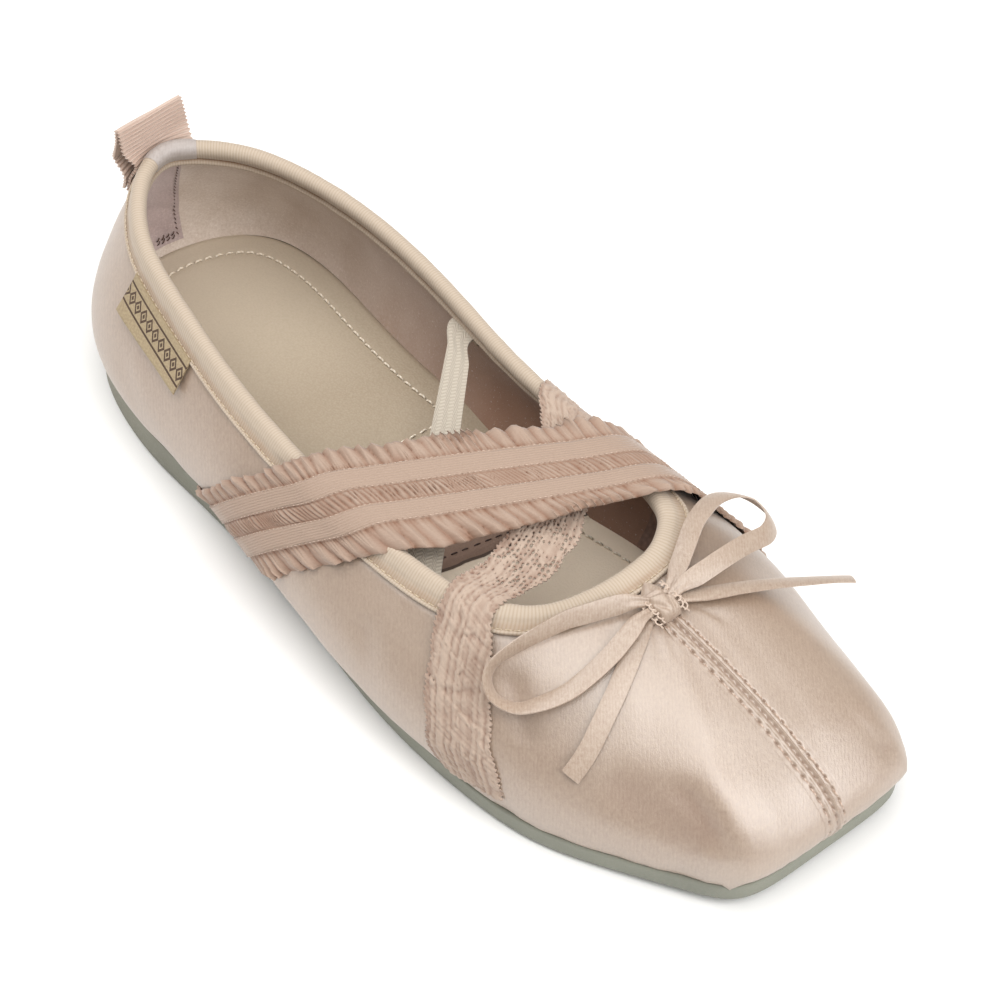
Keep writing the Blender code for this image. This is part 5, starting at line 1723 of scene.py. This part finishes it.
AIM = (0.0, 80.0, 25.0)  # the camera looks at this point, in mm from the origin
CAMERA = (341.9, 466.5, 596.3)
LENS = 116.0
SHIFT = (0.037, -0.018)
CENTRE = (0.0, 0.08, 0.02)  # the lights point here, in metres
FLOOR_REACH = 1.6  # half the floor's side
FLOOR_DROP = 0.0002
# Place in metres, size, watts and tint of each softbox
SOFTBOXES = {
    "sky_box": ((0.1, 0.0, 1.35), (1.6, 1.6), 16, "#FFFDFA"),
    "front_box": ((-0.28, 1.2, 0.75), (0.75, 1.0), 9.5, "#FFFFFF"),
    "back_box": ((0.3, -1.1, 1.1), (1.0, 0.8), 9, "#FFFFFF"),
    "key_box": ((0.4, 0.8, 1.25), (1.0, 0.8), 6.5, "#FFFDFA"),
}


def build_camera():
    data = bpy.data.cameras.new("camera")
    data.sensor_width = 36
    data.lens = LENS
    data.shift_x, data.shift_y = SHIFT
    data.clip_start, data.clip_end = 0.01, 20
    camera = new_object("camera", data)
    camera.location = Vector(CAMERA) * MM
    camera.rotation_euler = (Vector(AIM) - Vector(CAMERA)).to_track_quat("-Z", "Y").to_euler()
    bpy.context.scene.camera = camera


def softbox(name, place, size, watts, tint):
    data = bpy.data.lights.new(name, "AREA")
    data.shape = "RECTANGLE"
    data.size, data.size_y = size
    data.energy = watts
    data.color = linear(tint)[:3]
    lamp = new_object(name, data)
    lamp.location = place
    lamp.rotation_euler = (Vector(CENTRE) - Vector(place)).to_track_quat("-Z", "Y").to_euler()


def build_floor(material):
    count = 24
    line = np.linspace(-FLOOR_REACH, FLOOR_REACH, count)
    x, y = np.meshgrid(line, line, indexing="ij")
    points = np.stack([x, y + CENTRE[1], 0 * x - FLOOR_DROP], -1).reshape(-1, 3)
    i, j = np.meshgrid(np.arange(count - 1), np.arange(count - 1), indexing="ij")
    near, far = i * count + j, (i + 1) * count + j
    faces = np.stack([near, far, far + 1, near + 1], -1)
    mesh = bpy.data.meshes.new("floor")
    mesh.from_pydata(points.tolist(), [], faces.reshape(-1, 4).tolist())
    mesh.materials.append(material)
    new_object("floor", mesh)


def build_light():
    for name, values in SOFTBOXES.items():
        softbox(name, *values)
    world = bpy.data.worlds.new("studio")
    world.use_nodes = True
    background = world.node_tree.nodes["Background"]
    background.inputs["Color"].default_value = (1, 1, 1, 1)
    background.inputs["Strength"].default_value = 0.3
    bpy.context.scene.world = world
    bpy.context.scene.view_settings.view_transform = "Standard"


build_camera()
build_light()
build_floor(studio_floor())

satin = woven_satin("blush_satin", "#A6907C", "#927A68", "#A59382", 0.85, Roughness=0.39, IOR=1.8,
                    Specular_IOR_Level=1.0, Sheen_Weight=0.2, Sheen_Roughness=0.4)
bow_satin = woven_satin("bow_ribbon", "#B5A392", "#9B8371", "#B3A192", 0.7, Roughness=0.40, IOR=1.6,
                        Specular_IOR_Level=0.8, Sheen_Weight=0.2, Sheen_Roughness=0.4)
tape = ribbed("collar_tape", "#BBAC9B", "#AA9782", 0.76, 0.045, 1.9, Roughness=0.75,
              Sheen_Weight=0.15)
grosgrain = ribbed("pink_grosgrain", "#C7B2A4", "#A08373", 1.0, 0.03, 2.4, Roughness=0.36,
                   Sheen_Weight=0.2)
insole_skin = leatherette("insole_leather", "#AA9C88", "#A0917D", 0.6, sock_tints, Roughness=0.6)
taupe_lining = microfibre("taupe_lining", "#E8DDD3", "#C2B0A0", "#F2ECE6")
grey_counter = microfibre("grey_counter", "#CDBBB8", "#A18D8A", "#DDD3D0")
vamp_skin = leatherette("vamp_lining", "#8D6F60", "#745A4C", 1.0, Roughness=0.6)
rubber = moulded_rubber()
ruffle_cloth = creased_knit("ruffle_elastic", "#A99383", "#7A523A", 0.8, Roughness=0.7,
                            Sheen_Weight=0.25, Sheen_Roughness=0.4)
lace_yarn = creased_knit("stretch_lace", "#B5A191", "#866858", 0.8, Roughness=0.8, Sheen_Weight=0.2)
ivory = herringbone_elastic()
label_cloth = woven_label()
cream_thread = spun_thread("cream_thread", "#F3EADB", "#D8CAB4")
tape_thread = spun_thread("tape_thread", "#CFC0AA", "#B7A487")
pink_thread = spun_thread("pink_thread", "#CDB7A7", "#A38674")
dark_thread = spun_thread("brown_thread", "#5E463C", "#33241E")
groove_thread = spun_thread("tape_groove_thread", "#9A7450", "#7A5838")
picot_thread = spun_thread("picot_thread", "#DCCDC0", "#BFA48F")
joint_satin = woven_satin("joint_satin", "#B4ABA6", "#A1958F", "#B4AEAB", 0.7, Roughness=0.45,
                          Specular_IOR_Level=0.6, Sheen_Weight=0.2, Sheen_Roughness=0.4)

build_satin(satin)
build_lining(taupe_lining)
build_inner_pieces(grey_counter, vamp_skin, dark_thread)
build_seam(satin, pink_thread)
build_binding(tape, tape_thread, groove_thread, joint_satin)
build_outsole(rubber)
build_insole(insole_skin, cream_thread, dark_thread)
build_ruffle(ruffle_cloth, pink_thread)
build_lace(lace_yarn)
build_elastic(ivory)
build_pull_loop(grosgrain)
build_label(label_cloth)
for node, route, seed, narrow, slant in (
    ("bow_loop_lateral", BOW_LOOP_LATERAL, 301, (0.5, 0.5), 0.0),
    ("bow_loop_medial", BOW_LOOP_MEDIAL, 311, (0.5, 0.5), 0.0),
    ("bow_tail_lateral", BOW_TAIL_LATERAL, 321, (0.4, 0.0), -0.2),
    ("bow_tail_medial", BOW_TAIL_MEDIAL, 331, (0.4, 0.0), -1.0),
):
    build_ribbon(node, route, bow_satin, seed, narrow, slant)
build_knot(bow_satin, picot_thread)
